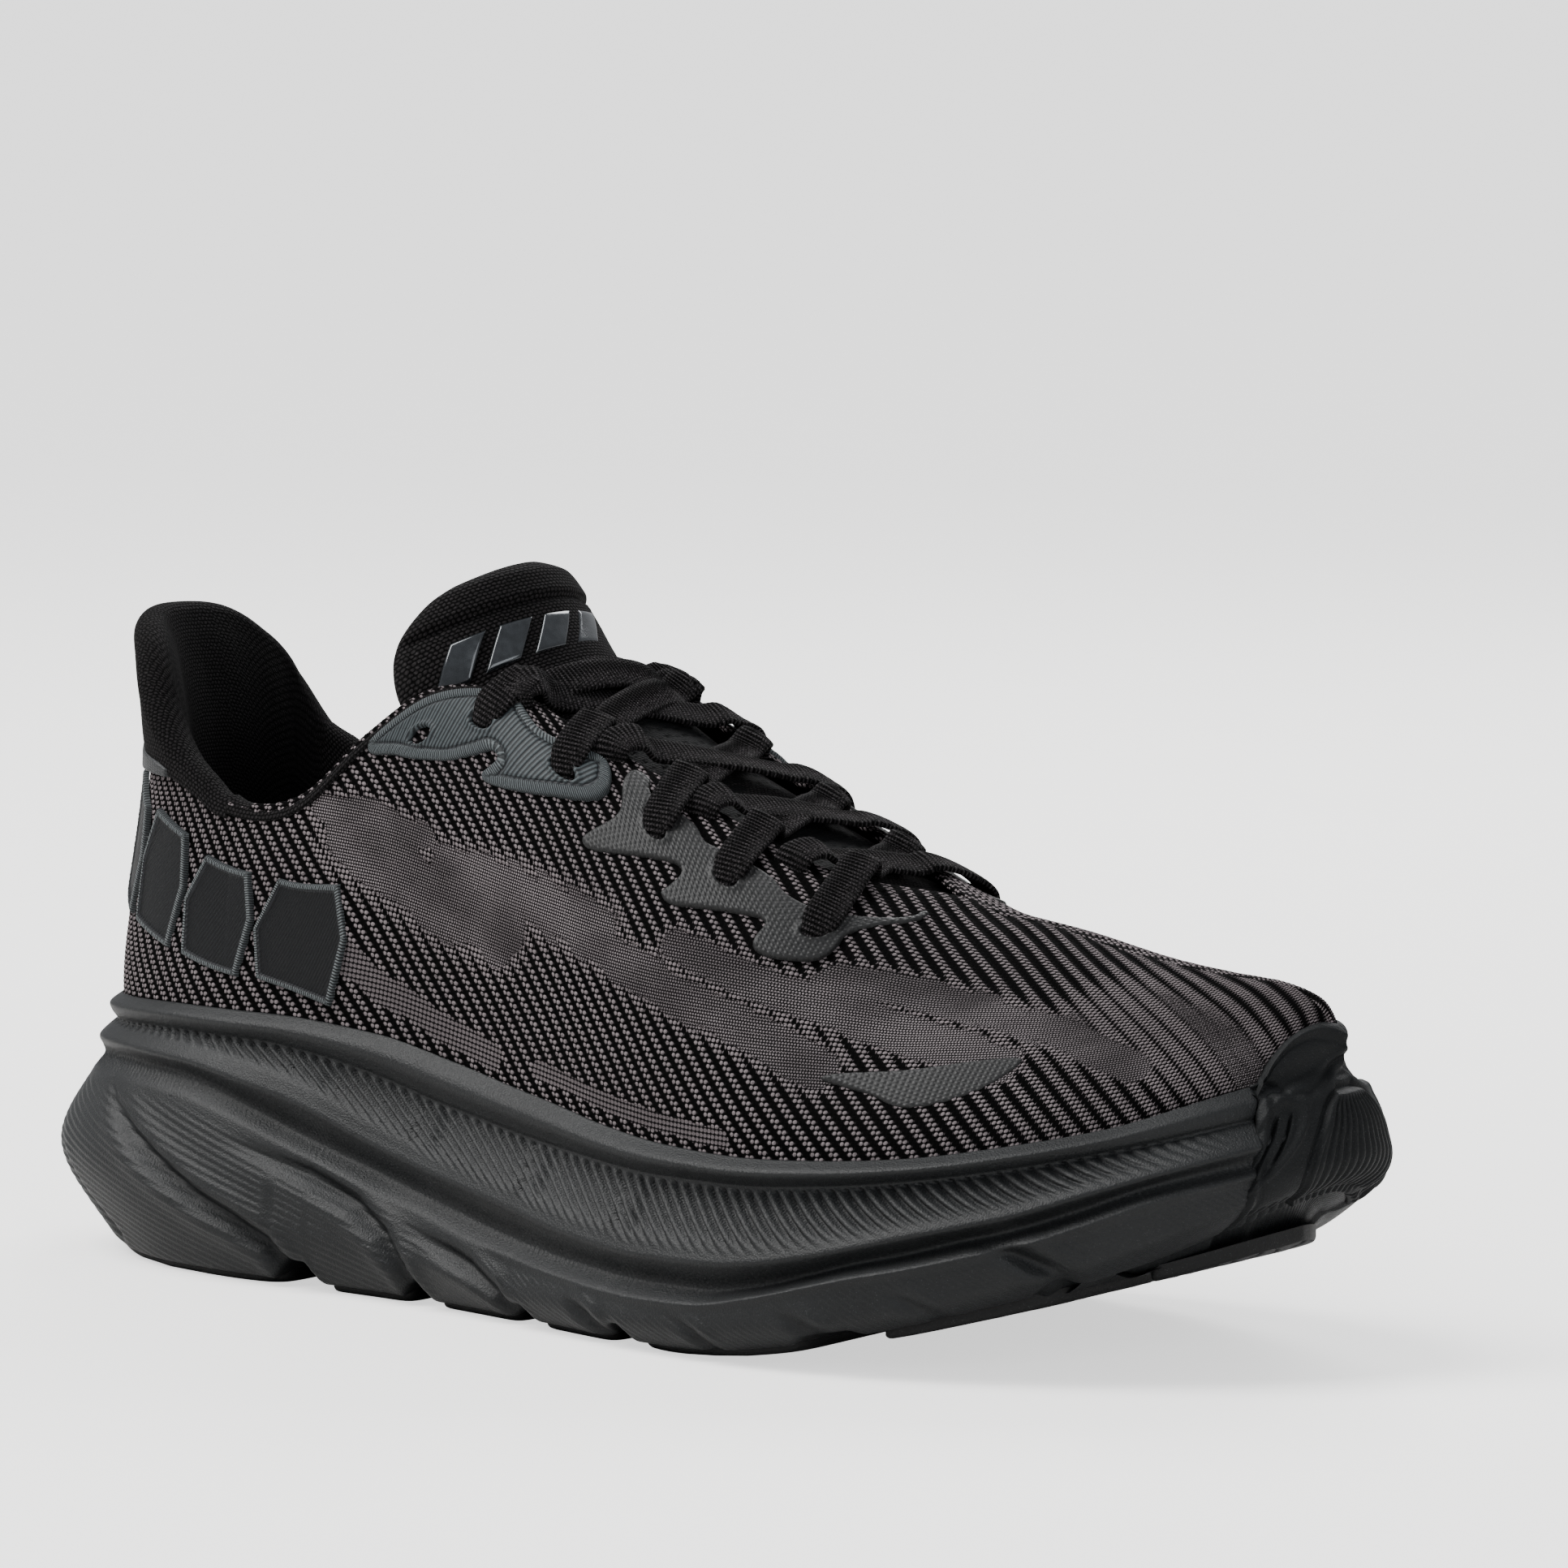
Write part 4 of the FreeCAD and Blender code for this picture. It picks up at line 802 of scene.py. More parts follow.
# ---------------------------------------------------------------- midsole
CHANNELS = [  # polyline in x, z on the side wall; depth; half width
    ([(24, 40), (31, 33), (40, 27.5), (50, 22), (60, 17), (70, 13), (78, 9), (84, 2)], 3.0, 1.9),
    ([(62, 30), (74, 27), (88, 23.5), (100, 19), (108, 14), (113, 8), (117, 0)], 2.4, 1.7),
    ([(112, 17), (122, 13.5), (132, 10.5), (140, 6.5), (146, 0)], 2.2, 1.6),
    ([(8, 30), (14, 20), (20, 12), (28, 5)], 0.9, 1.6),
    ([(160, 9), (167, 5), (174, -1)], 1.8, 1.5),
    ([(188, 9.5), (195, 6), (199, 2.5), (203, -1)], 1.3, 1.2),
    ([(214, 12), (222, 8.5), (229, 4)], 1.5, 1.4),
    ([(252, 26.5), (259, 25.5), (266, 22), (272, 15)], 2.0, 1.6),
    ([(236, 17.5), (244, 14), (251, 9)], 1.2, 1.3),
]
GAPS = [  # first x, last x and extra height where the foam bridges between pads
    (80, 88.5, 4.6), (112.8, 118, 3.6), (143.8, 148, 3.4), (171.8, 176.2, 3.4),
    (219, 230, 1.6), (264, 268, 2.4)]
COMB_PITCH = 3.25


def foam_bottom(x):
    z = curve(SOLE_Z, x) + 1.5
    for start, end, height in GAPS:
        z = z + height * ramp(x, start - 2.5, start + 1.5) * (1 - ramp(x, end - 1.5, end + 2.5))
    return z


def lip_height(x):
    """Middle of the lip, where it stands out furthest."""
    under = curve(UNDER_Z, x)
    return under + (curve(TOP_Z, x) - under) * 0.55


def wall_grid(lap, share):
    """Side wall from the foam's bottom edge (share 0) to the top of the lip (share 1)."""
    x, y, nx, ny = outline_at(lap)
    top, lip, bottom = curve(TOP_Z, x), lip_height(x), foam_bottom(x)
    knot_z = np.stack([curve(line, x) for line in (
        SOLE_Z, BULGE_Z, CREST_Z, GROOVE_Z, RIDGE_Z, UNDER_Z)] + [lip, top], 1)
    knot_in = np.stack([curve(line, x) for line in (
        BOTTOM_IN, BULGE_IN, CREST_IN, GROOVE_IN, RIDGE_IN, UNDER_IN, LIP_IN, TOP_IN)], 1)
    z = bottom[:, None] + (top - bottom)[:, None] * share[None]
    inset = monotone(knot_z, knot_in, z)
    crest, ridge, under = knot_z[:, 2:3], knot_z[:, 4:5], knot_z[:, 5:6]
    grid_x = np.broadcast_to(x[:, None], z.shape)
    run = outline_run(lap)[:, None]
    # crisp line under the lip
    inset = inset + 0.55 * bell(z - under + 0.2, 0.7)
    # comb grooves sweeping from the lip down towards the toe, short at the heel
    drop = np.clip((under - z) / np.maximum(under - ridge, 1e-3), -0.2, 1.3)
    sweep = curve([(0, 3), (40, 6), (80, 20), (120, 26), (200, 17), (260, 12), (300, 8)], grid_x)
    phase = (run - sweep * np.clip(drop, 0, 1.3) ** 1.35) / COMB_PITCH
    reach = curve([(0, 0.22), (20, 0.30), (50, 0.48), (90, 0.72), (140, 0.92), (300, 0.95)],
                  grid_x)
    strength = curve([(0, 0.5), (30, 0.65), (80, 0.95), (200, 1.0), (262, 0.8), (284, 0.3),
                      (292, 0.0)], grid_x)
    comb = ramp(drop, 0.02, 0.10) * (1 - ramp(drop, reach * 0.55, reach)) * strength
    inset = inset + comb * crests(phase, 1) ** 4 * 1.7
    inset = inset + 0.24 * comb * crests(phase * 2 + 0.5, 1) ** 2
    # crisp ridge, and fine ribs in the channel under it
    ridge_strength = curve([(0, 0.2), (40, 0.6), (300, 1.0)], grid_x)
    inset = inset - 0.55 * bell(z - ridge, 1.1) * ridge_strength
    channel = ramp(z, crest + 0.6, crest + 2.0) * (1 - ramp(z, ridge - 2.2, ridge - 0.9))
    inset = inset - 0.16 * channel * wave(run + 0.45 * (z - crest), 1.35)
    # ledge along the crest
    inset = inset - 0.5 * bell(z - crest, 0.9) * ramp(grid_x, 120, 150)
    # fine flow lines on the heel lobes and low along the rest of the side
    lobe = (1 - ramp(z, crest - 3, crest - 0.5)) * (1 - ramp(grid_x, 108, 130))
    inset = inset + 0.10 * lobe * wave(z + 0.30 * grid_x, 1.45)
    low = (1 - ramp(z, crest - 2.5, crest - 0.8)) * ramp(grid_x, 118, 140)
    inset = inset + 0.07 * low * wave(run * 0.55 + z, 1.3)
    # channels between the lobes, with a slight swelling on either side
    for line, depth, width in CHANNELS:
        distance, along = line_distance(grid_x, z, line)
        fade = ease(along / 0.45)
        inset = inset + fade * depth * bell(distance, width * (0.55 + 0.45 * fade))
        inset = inset - fade * 0.26 * depth * bell(distance - 2.2 * width, 1.1 * width)
    # at the toe the wall draws in to let the bumper sit over it
    bumper_low = curve(SOLE_Z, x)[:, None] + 2.2
    rise = np.clip((z - bumper_low) / (lip[:, None] - bumper_low), 0, 1)
    past = from_heel(lap)[:, None] - (BUMPER_START + BUMPER_SLANT * rise)
    inset = inset + 1.7 * ramp(past, 0.03, 0.14)
    # rounded bottom edge
    inset = inset + 1.3 * (1 - round_edge((z - bottom[:, None]) / 2.2))
    return np.stack([x[:, None] - nx[:, None] * inset, y[:, None] - ny[:, None] * inset, z], -1)


def build_midsole():
    lap = np.linspace(0, 40, 1700, endpoint=False)
    wall = wall_grid(lap, np.linspace(0, 1, 190))
    x, y, nx, ny = outline_at(lap)
    bottom, top = wall[:, 0, 2], wall[:, -1, 2]
    rim = []
    for inset in (26.0, 18.0, 11.0, 5.0, 2.0, 0.8):
        ring = wall[:, 0].copy()
        move = np.minimum(inset, 0.9 * np.abs(y) + 4.0)
        ring[:, 0] -= nx * move
        ring[:, 1] -= ny * move
        share = ease(min(inset / 6.0, 1.0))
        ring[:, 2] = (bottom + (foam_bottom(ring[:, 0]) - bottom) * share
                      + 0.12 * min(inset, 3))
        rim.append(ring[:, None])
    inside = []
    for more, down in ((0.25, 0.05), (0.45, 0.35), (0.5, 1.2), (0.5, 4.0), (0.5, 9.0)):
        inset = curve(TOP_IN, x) + more
        inside.append(np.stack([x - nx * inset, y - ny * inset, top - down], -1)[:, None])
    points = np.concatenate(rim + [wall] + inside, axis=1)
    run = np.broadcast_to(outline_run(lap)[:, None], points.shape[:2])
    shell = outward(grid_mesh("midsole", points, FOAM, np.stack([run, points[..., 2]], -1),
                              close=(True, False)))

    # underside: a long shallow channel down the middle and shallow cross grooves
    x, y, _, middle, _ = span_grid(BOTTOM_IN, 3.0, 420, 90)
    channel = bell(y - middle, 6.5) * ramp(x, 30, 50) * (1 - ramp(x, 215, 235))
    z = foam_bottom(x) + 0.3 + 3.2 * channel + 0.5 * crests(x, 7.0) ** 3
    underside = outward(grid_mesh("midsole_underside", np.stack([x, y, z], -1), FOAM,
                                  np.stack([x, y], -1)), along=(0, 0, -1))

    # floor of the cup under the foot
    x, y, _, _, _ = span_grid(TOP_IN, 0.5, 300, 30)
    cup = outward(grid_mesh("midsole_cup", np.stack([x, y, curve(FOOTBED_Z, x)], -1), FOAM),
                  along=UP)
    for obj in (shell, underside, cup):
        flex(obj)
        assign(obj, "midsole_foam")
    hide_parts("midsole_rear", "midsole_flex_zone", "midsole_forefoot")


# ---------------------------------------------------------------- rubber pads
def build_pad(place, start, end, share_from, share_to):
    """Rounded block: a grooved face of 40 rings, then 7 rings down its side."""
    angle = np.linspace(0, TAU, 360, endpoint=False)
    squareness = 0.62 if place == "toe_tip" else 0.24
    across_x, across_y = (np.sign(q) * np.abs(q) ** squareness
                          for q in (np.cos(angle), np.sin(angle)))
    rings = np.concatenate([np.linspace(0.02, 0.93, 40),
                            [0.955, 0.975, 0.99, 1.0, 1.0, 1.0, 1.0]])
    side_rise = np.concatenate([np.zeros(40), [0.05, 0.2, 0.5, 0.9, 1.5, 2.2, 3.0]])
    x = start + (end - start) * (0.5 + 0.5 * across_x[:, None] * rings)
    lateral, medial, first, last = side_lines(BOTTOM_IN, 1.3)
    inside = np.clip(x, first, last)
    left, right = lateral(inside), medial(inside)
    y_from, y_to = left + (right - left) * share_from, left + (right - left) * share_to
    y = y_from + (y_to - y_from) * (0.5 + 0.5 * across_y[:, None] * rings)
    face = (1 - ramp(rings, 0.86, 0.95)) * (np.arange(len(rings)) < 40)
    z = curve(SOLE_Z, x) + side_rise
    z = z + face * (1.1 * crests(x + 0.35 * np.abs(y), 6.2) ** 4)
    z = z + face * (0.7 * crests(y, 11.0) ** 10)
    obj = outward(grid_mesh("pad_" + place, np.stack([x, y, z], -1), PAD_RUBBER,
                            np.stack([x, y], -1), close=(True, False)))
    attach(obj, "forefoot" if "toe" in place else "rear")
    assign(obj, "outsole_rubber", "outsole_" + place)


# ---------------------------------------------------------------- toe bumper
def bumper_rows(lap):
    """Lines along the bumper: seven over the foam wall, then three over the upper."""
    side = from_heel(lap)
    inward = (side - BUMPER_START) / (20 - BUMPER_START)   # 0 at its ends, 1 at the toe
    slant = BUMPER_SLANT * (1 - ease(inward / 0.55))
    tip = ease((inward - 0.15) / 0.6)

    def on_side(place):
        return np.where(lap <= 20, place, 40 - place)

    rows = []
    for share in (0.0, 0.11, 0.22, 0.36, 0.52, 0.74, 1.0):
        x, y, nx, ny = outline_at(on_side(side + slant * share))
        lip = lip_height(x)
        low = curve(SOLE_Z, x) + 2.2
        bulge = curve(BULGE_Z, x) + 0.5
        z = low + (lip - low) * share
        knot_z = np.stack([curve(SOLE_Z, x), bulge, 0.5 * (bulge + lip), lip], 1)
        knot_in = np.stack([curve(BOTTOM_IN, x), curve(BULGE_IN, x) + 0.3, 1.9 - 0.6 * tip,
                            curve(LIP_IN, x) - 0.6 - 0.8 * tip], 1)
        inset = monotone(knot_z, knot_in, z[:, None])[:, 0] + 1.3 * tip - 0.8
        rows.append(np.stack([x - nx * inset, y - ny * inset, z], -1))
    edge_level = curve([(0, 0.10), (0.05, 0.24), (0.12, 0.38), (0.25, 0.54), (0.45, 0.71),
                        (0.7, 0.86), (1, 0.95)], inward)
    edge_lap = curve([(0, 17.92), (0.12, 17.93), (0.25, 18.02), (0.45, 18.34), (0.7, 18.8),
                      (1, 19.3)], inward)
    centre = ease((inward - 0.55) / 0.45)
    power = 1.0 - 0.7 * ease((inward - 0.2) / 0.8)
    lip_lap = side + slant
    # share of the way to the upper edge, then lap and level of that row at the toe
    for share, toe_lap, toe_level in ((0.3, 20.0, 0.60), (0.65, 19.8, 1.0), (1.0, 19.15, 1.0)):
        place = (lip_lap + (edge_lap - lip_lap) * share) * (1 - centre) + toe_lap * centre
        place = on_side(place)
        level = edge_level * share ** power * (1 - centre) + toe_level * centre
        level = np.clip(level, 0.02, 1.0)
        # near the top the two sides share their normals
        near_top = 0.5 * ease((level - 0.8) / 0.2)[:, None]
        normal = unit(skin_normal(place, np.minimum(level, 0.97)) * (1 - near_top)
                      + skin_normal(40 - place, np.minimum(level, 0.97)) * near_top)
        rows.append(skin(place, level) + normal * 1.6)
    rows = np.stack(rows, 1)
    # round the crown over the tip: average along the edge, more towards the top
    near_tip = bell(side - 20, 0.9)[:, None]
    for k, sigma in ((6, 8), (7, 12), (8, 14), (9, 14)):
        pad = 3 * sigma
        kernel = np.exp(-0.5 * (np.arange(-pad, pad + 1) / sigma) ** 2)
        kernel /= kernel.sum()
        line = np.pad(rows[:, k], ((pad, pad), (0, 0)), mode="edge")
        blurred = np.stack([np.convolve(column, kernel, "valid") for column in line.T], -1)
        rows[:, k] = rows[:, k] * (1 - near_tip) + blurred * near_tip
    return rows


def build_bumper():
    count = 560
    middle = count // 2
    lap = np.linspace(BUMPER_START, 40 - BUMPER_START, count)
    face = resample(bumper_rows(lap), 190)
    normals = grid_normals(face)
    if normals[middle, 10, 0] < 0:
        normals = -normals
    run = run_length(face)
    run = run - run[middle][None]
    high = run_length(face, axis=1)
    edge = np.minimum(np.minimum(high, high[:, -1:] - high),
                      np.minimum(run - run[:1], run[-1:] - run))
    # rounded edge with a raised rim
    relief = 1.15 * (round_edge(edge / 1.5) - 1)
    relief = relief + 0.45 * bell(edge - 1.6, 0.8) - 0.25 * bell(edge - 3.4, 0.7)
    z = face[..., 2]
    aside = np.abs(run)
    # raised pad at the tip, its ribs parallel to its sides
    half_width = curve([(30, 8.5), (32, 12.0), (34.5, 14.6), (38, 15.6), (44, 12.8), (50, 8.0),
                        (52.5, 4.5), (54, 1.5)], z)
    inside = np.minimum(half_width - aside, 10.6 - np.abs(z - 42.3))
    relief = relief + 0.7 * ramp(inside, -0.1, 0.7) - 0.8 * bell(inside + 0.9, 0.55)
    relief = relief - 0.55 * ramp(inside, 1.0, 1.8) * crests(6.5 * aside / half_width, 1) ** 1.6
    # oval recess with leaning slits on either side of the pad
    oval = np.hypot((aside - 24.5 + (z - 44) * 1.1) / 5.4, (z - 44) / 9.0)
    slits = crests(aside + (z - 44) * 0.78 - 24.5, 3.1) ** 7
    relief = relief - 0.55 * (1 - ramp(oval, 0.78, 1.0)) + 0.30 * bell(oval - 1.10, 0.10)
    relief = relief - 1.2 * (1 - ramp(oval, 0.62, 0.84)) * slits
    # curved seam above both
    seam = line_distance(aside, z, [(25, 57.5), (20, 54.8), (14, 53.4), (9.5, 53.6),
                                    (6.5, 54.8), (3, 57), (0, 59.5)])[0]
    relief = relief - 0.55 * bell(seam, 0.6) + 0.25 * bell(seam - 1.5, 0.8)
    # grooves near the bottom
    low = (1 - ramp(z - z[:, :1], 3.2, 4.2)) * ramp(high, 0.6, 1.2)
    low = low * (1 - ramp(inside, -3, -1))
    relief = relief - 0.4 * low * crests(run, 2.6) ** 2
    outer = face + normals * relief[..., None]
    obj = shell_mesh("toe_bumper_rubber", outer, outer - normals * 1.0, TOE_RUBBER,
                     np.stack([run, high], -1))
    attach(obj, "forefoot")
    assign(obj, "toe_rubber", "toe_bumper")


# ---------------------------------------------------------------- knit upper
MESH_BANDS = [  # fine mesh: polyline in x, z; half width
    ([(92, 91), (104, 86), (118, 80), (134, 76)], 7.5),
    ([(118, 86), (138, 84), (160, 78)], 6.0),
    ([(150, 80), (175, 70), (200, 62), (214, 56)], 4.2),
    ([(178, 77), (200, 70), (226, 63), (246, 58)], 3.4),
    ([(208, 72), (228, 69), (250, 64), (268, 58)], 2.6),
    ([(84, 96), (98, 96), (112, 92)], 3.0)]
ROW_BANDS = [  # plain courses, likewise
    ([(88, 69), (100, 63), (116, 56), (132, 51)], 3.6),
    ([(146, 50), (170, 45), (196, 42)], 2.0)]


def soft_band(x, z, line, width):
    return 1 - ramp(line_distance(x, z, line)[0], width * 0.45, width * 1.5)


def collar_low(lap):
    """Level of the collar cover's lower edge on the outside."""
    side = np.abs(lap)
    edge_z = curve([(0, 100), (1, 100), (2, 99.8), (3, 99.6), (3.5, 99.0), (4, 97.2),
                    (4.4, 94.6), (4.7, 92.2), (5, 91.4), (5.3, 91.2), (8.75, 91.2)], side)
    levels = np.linspace(0.3, 1.0, 141)
    z = skin(lap[:, None], levels[None])[..., 2]
    level = levels[np.clip((z < edge_z[:, None]).sum(1), 0, 140)]
    wall = np.linalg.norm(skin(lap, 1.0) - skin(lap, 0.7), axis=-1) / 0.3
    return np.where(side > 4.9, np.maximum(level, 1 - 3.1 / wall), level)


def knit_top(lap):
    """How far up the knit shows: it ends under the padded collar cover at the heel."""
    side = from_heel(lap)
    level = collar_low(np.minimum(side, COLLAR_END)) + 0.05
    return np.where(side > 6.2, 1.0, np.minimum(level + 0.5 * ramp(side, 5.2, 6.2), 1.0))


def build_knit():
    lap = np.linspace(0, 40, 1560, endpoint=False)
    share = np.linspace(0, 1, 215)[None]
    level = -0.025 + (knit_top(lap)[:, None] + 0.025) * share
    grid_lap = np.broadcast_to(lap[:, None], level.shape)
    points = skin(grid_lap, level)
    normals = skin_normal(grid_lap, np.clip(level, 0.0, 1.0))
    high = run_length(points, axis=1)
    run = outline_run(lap)[:, None] + 0 * high
    side = from_heel(lap)[:, None]
    x, z = points[..., 0], points[..., 2]
    # the stripes lean least at the heel
    lean = curve([(0, 0.78), (9, 0.84), (11, 0.92), (13, 1.0), (15, 1.0), (20, 0.9)],
                 side) + 0 * high
    from_mid = np.abs(((run + lean * high) / STRIPE) % 1.0 - 0.5) * 2
    zone = np.zeros_like(x)
    for line, width in MESH_BANDS:
        zone = np.maximum(zone, soft_band(x, z, line, width * 1.02))
    zone = np.maximum(zone, 0.22 * ramp(side, 13.5, 16.0))
    zone = np.maximum(zone, 0.55 * soft_band(x, z, [(256, 66), (270, 63), (283, 58)], 8.0))
    rows = np.zeros_like(x)
    for line, width in ROW_BANDS:
        rows = np.maximum(rows, soft_band(x, z, line, width))
    # grey stripes stand proud and courses are shallow ridges
    stripe_height = 0.26 * (1 - ramp(zone, 0.3, 0.9)) * (1 - rows) * ramp(share, 0.06, 0.12)
    stripe_height = stripe_height * (1 - ramp(level, 0.96, 0.99) * (side > 6))
    relief = stripe_height * (1 - ramp(from_mid - 0.52 * zone, 0.38, 0.64)) - 0.08
    relief = relief + 0.045 * wave(high, COURSE) * (1 - zone)
    # gentle unevenness of soft cloth, plus creases over the vamp
    uneven = 0.45 * np.sin(x / 17.0 + 1.3 * np.sin(z / 15.0)) * np.sin(high / 13.0 + x / 40.0)
    crease = bell(x - 222, 22.0) * ramp(side, 10, 13) * 0.4 * np.sin(x / 4.6 + np.sin(high / 9.0))
    relief = relief + uneven * ramp(share, 0.08, 0.3) * (1 - ramp(side, 17.5, 19.0))
    relief = relief + crease * ramp(level, 0.2, 0.6)
    points = points + normals * relief[..., None]
    # rolled hem: the upper edge turns in over a half circle, then runs down 3 mm
    hem_radius = 0.85
    edge, normal = points[:, -1], normals[:, -1]
    upward = unit(edge - points[:, -4], 1e-9)
    hem = []
    for k in range(1, 8):
        angle = math.pi * k / 7
        hem.append(edge - normal * hem_radius + hem_radius * (
            math.cos(angle) * normal + 0.9 * math.sin(angle) * upward))
    hem.append(hem[-1] - upward * 3.0)
    points = np.concatenate([points, np.stack(hem, 1)], axis=1)
    count = len(hem)

    def over_hem(values, tail):
        return np.concatenate([values, np.repeat(tail, count, 1)], axis=1)

    nothing = np.zeros((len(lap), 1))
    hem_high = high[:, -1:] + np.arange(1, count + 1)[None] * 0.5
    flat = np.stack([over_hem(run, run[:, -1:]), np.concatenate([high, hem_high], axis=1)], -1)
    extra = {"zone": over_hem(zone, nothing), "rows": over_hem(rows, nothing),
             "dark": over_hem(np.zeros_like(x), nothing), "kk": over_hem(lean, lean[:, -1:])}
    obj = outward(grid_mesh("knit_upper", points, KNIT, flat, extra, close=(True, False)),
                  away_from=(150, 0, 40))
    flex(obj)
    assign(obj, "knit", "knit_upper_rear", "knit_upper_flex_zone", "knit_upper_toe_box",
           "toe_puff", "heel_counter")


def build_vamp_lining():
    """Inner lining of the vamp and quarters, down to the footbed."""
    lap = np.linspace(0, 40, 420, endpoint=False)
    share = np.linspace(-0.5, 1, 90)[None]
    level = np.where(share < 0, share, share * (knit_top(lap)[:, None] * 0.985))
    points = skin_in(np.broadcast_to(lap[:, None], level.shape), level, 1.7)
    high = run_length(points, axis=1)
    obj = grid_mesh("vamp_lining", points, LINING,
                    np.stack([outline_run(lap)[:, None] + 0 * high, high], -1),
                    close=(True, False), flip=True)
    flex(obj)
    assign(obj, "lining_fabric")


# ---------------------------------------------------------------- padded collar
def build_collar():
    """Padding over the ankle edge: up the outside, over a round rim, down the inside."""
    count = 900
    lap = np.linspace(-COLLAR_END, COLLAR_END, count)
    side = np.abs(lap)
    low = collar_low(lap)
    radius = curve([(0, 3.3), (1.6, 3.6), (3, 4.0), (4.4, 3.6), (5.2, 2.5), (6.5, 2.1),
                    (7.6, 1.8), (8.75, 1.2)], side)
    top = skin(lap, 1.0)
    normal = skin_normal(lap, 1.0)
    upward = unit(top - skin(lap, 0.97))
    wall = np.linalg.norm(top - skin(lap, low), axis=-1)
    rim_share = radius / np.maximum(wall, radius * 1.4)
    rise = 0.75   # how far the cover stands off the knit
    columns = []
    for share in np.linspace(0, 1, 60):
        level = low + (1 - low) * (1 - rim_share) * share
        height = rise * ease(share * np.maximum(wall, 3) / 1.6) - 0.25 * (share < 0.001)
        puff = 0.7 * math.sin(math.pi * share) * (wall / 30.0).clip(0, 1)
        columns.append(skin_in(lap, level, -(height + puff)))
    centre = columns[-1] - normal * radius[:, None]
    for k in range(1, 29):
        angle = math.pi * k / 28
        columns.append(centre + radius[:, None] * (
            math.cos(angle) * normal + math.sin(angle) * upward))
    # inside, the padding swells below the rim and thins towards the footbed
    rim_depth = 2 * radius - rise
    swell_round = curve([(0, 0.9), (3, 1.0), (4.6, 1.6), (6, 1.3), (7.5, 0.5), (8.75, 0)], side)
    for share in np.linspace(0.02, 1, 90):
        level = (1 - rim_share * (1 - low)) * (1 - share) - 0.55 * share
        swell = swell_round * curve([(0, 0), (0.08, 0.6), (0.22, 2.4), (0.36, 3.2), (0.5, 2.4),
                                     (0.66, 1.0), (0.8, 0.2), (1, 0.0)], share)
        depth = np.maximum(rim_depth + swell, 2.6) if share > 0.03 else rim_depth
        columns.append(skin_in(lap, level, depth))
    points = np.stack(columns, 1)
    normals = grid_normals(points)
    if (normals[count // 2, 10] * normal[count // 2]).sum() < 0:
        normals = -normals
    run = run_length(points)[:, :1] + 0 * points[..., 0]
    high = run_length(points, axis=1)
    # slow undulation, small puckers by the rim and a stitched line along the outer edge
    column = np.arange(points.shape[1])[None]
    body = ramp(column, 8, 24) * (1 - ramp(column, 160, 176))
    uneven = 0.22 * np.sin(run / 9.0 + 2 * np.sin(high / 11.0)) * np.sin(high / 8.0)
    uneven = uneven + 0.10 * np.sin(run / 3.1 + high / 6.0) * bell(column - 92.0, 9.0)
    stitches = -0.55 * bell(high - 2.6, 0.42) * (0.75 + 0.25 * wave(run, 2.6))
    stitches = stitches * (wall[:, None] > 9)
    points = points + normals * (uneven * body + stitches)[..., None]
    obj = grid_mesh("collar_padding", points, LINING, np.stack([run, high], -1))
    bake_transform(obj)
    assign(obj, "lining_fabric", "collar_foam_lateral", "collar_foam_medial",
           "collar_lining_lateral", "collar_lining_medial", "collar_binding_lateral",
           "collar_binding_medial", "heel_tab_cover", "heel_tab_foam")


# ---------------------------------------------------------------- patches laid on the upper
def smooth_loop(points, step):
    """Closed Catmull-Rom through points, resampled to even steps."""
    count = len(points)
    dense = loop_at(points, np.linspace(0, count, count * 40, endpoint=False))
    dense = np.concatenate([dense, dense[:1]])
    length = run_length(dense)
    even = np.linspace(0, length[-1], max(12, int(length[-1] / step)), endpoint=False)
    return interp_columns(even, length, dense)


def straight_loop(points, step):
    """Closed polygon through points, each side cut into even steps."""
    result = []
    for start, end in zip(points, np.roll(points, -1, axis=0)):
        count = max(1, int(np.linalg.norm(end - start) / step))
        result += [start + (end - start) * k / count for k in range(count)]
    return np.array(result)


def inside_loop(points, loop):
    x, y = points[:, 0][:, None], points[:, 1][:, None]
    x0, y0 = loop[:, 0][None], loop[:, 1][None]
    x1, y1 = np.roll(loop[:, 0], -1)[None], np.roll(loop[:, 1], -1)[None]
    crossed = ((y0 > y) != (y1 > y)) & (x < (x1 - x0) * (y - y0) / (y1 - y0 + 1e-12) + x0)
    return crossed.sum(1) % 2 == 1


def loop_distance(points, loop):
    """Distance to a closed loop and the length along it of the nearest point."""
    ends = np.roll(loop, -1, axis=0)
    length = run_length(np.concatenate([loop, loop[:1]]))[:-1]
    best, place = np.full(len(points), 1e9), np.zeros(len(points))
    for start, end, before in zip(loop, ends, length):
        way = end - start
        t = np.clip(((points - start) @ way) / (way @ way + 1e-12), 0, 1)
        distance = np.linalg.norm(points - start - t[:, None] * way, axis=-1)
        nearer = distance < best
        best = np.where(nearer, distance, best)
        place = np.where(nearer, before + t * np.linalg.norm(way), place)
    return best, place


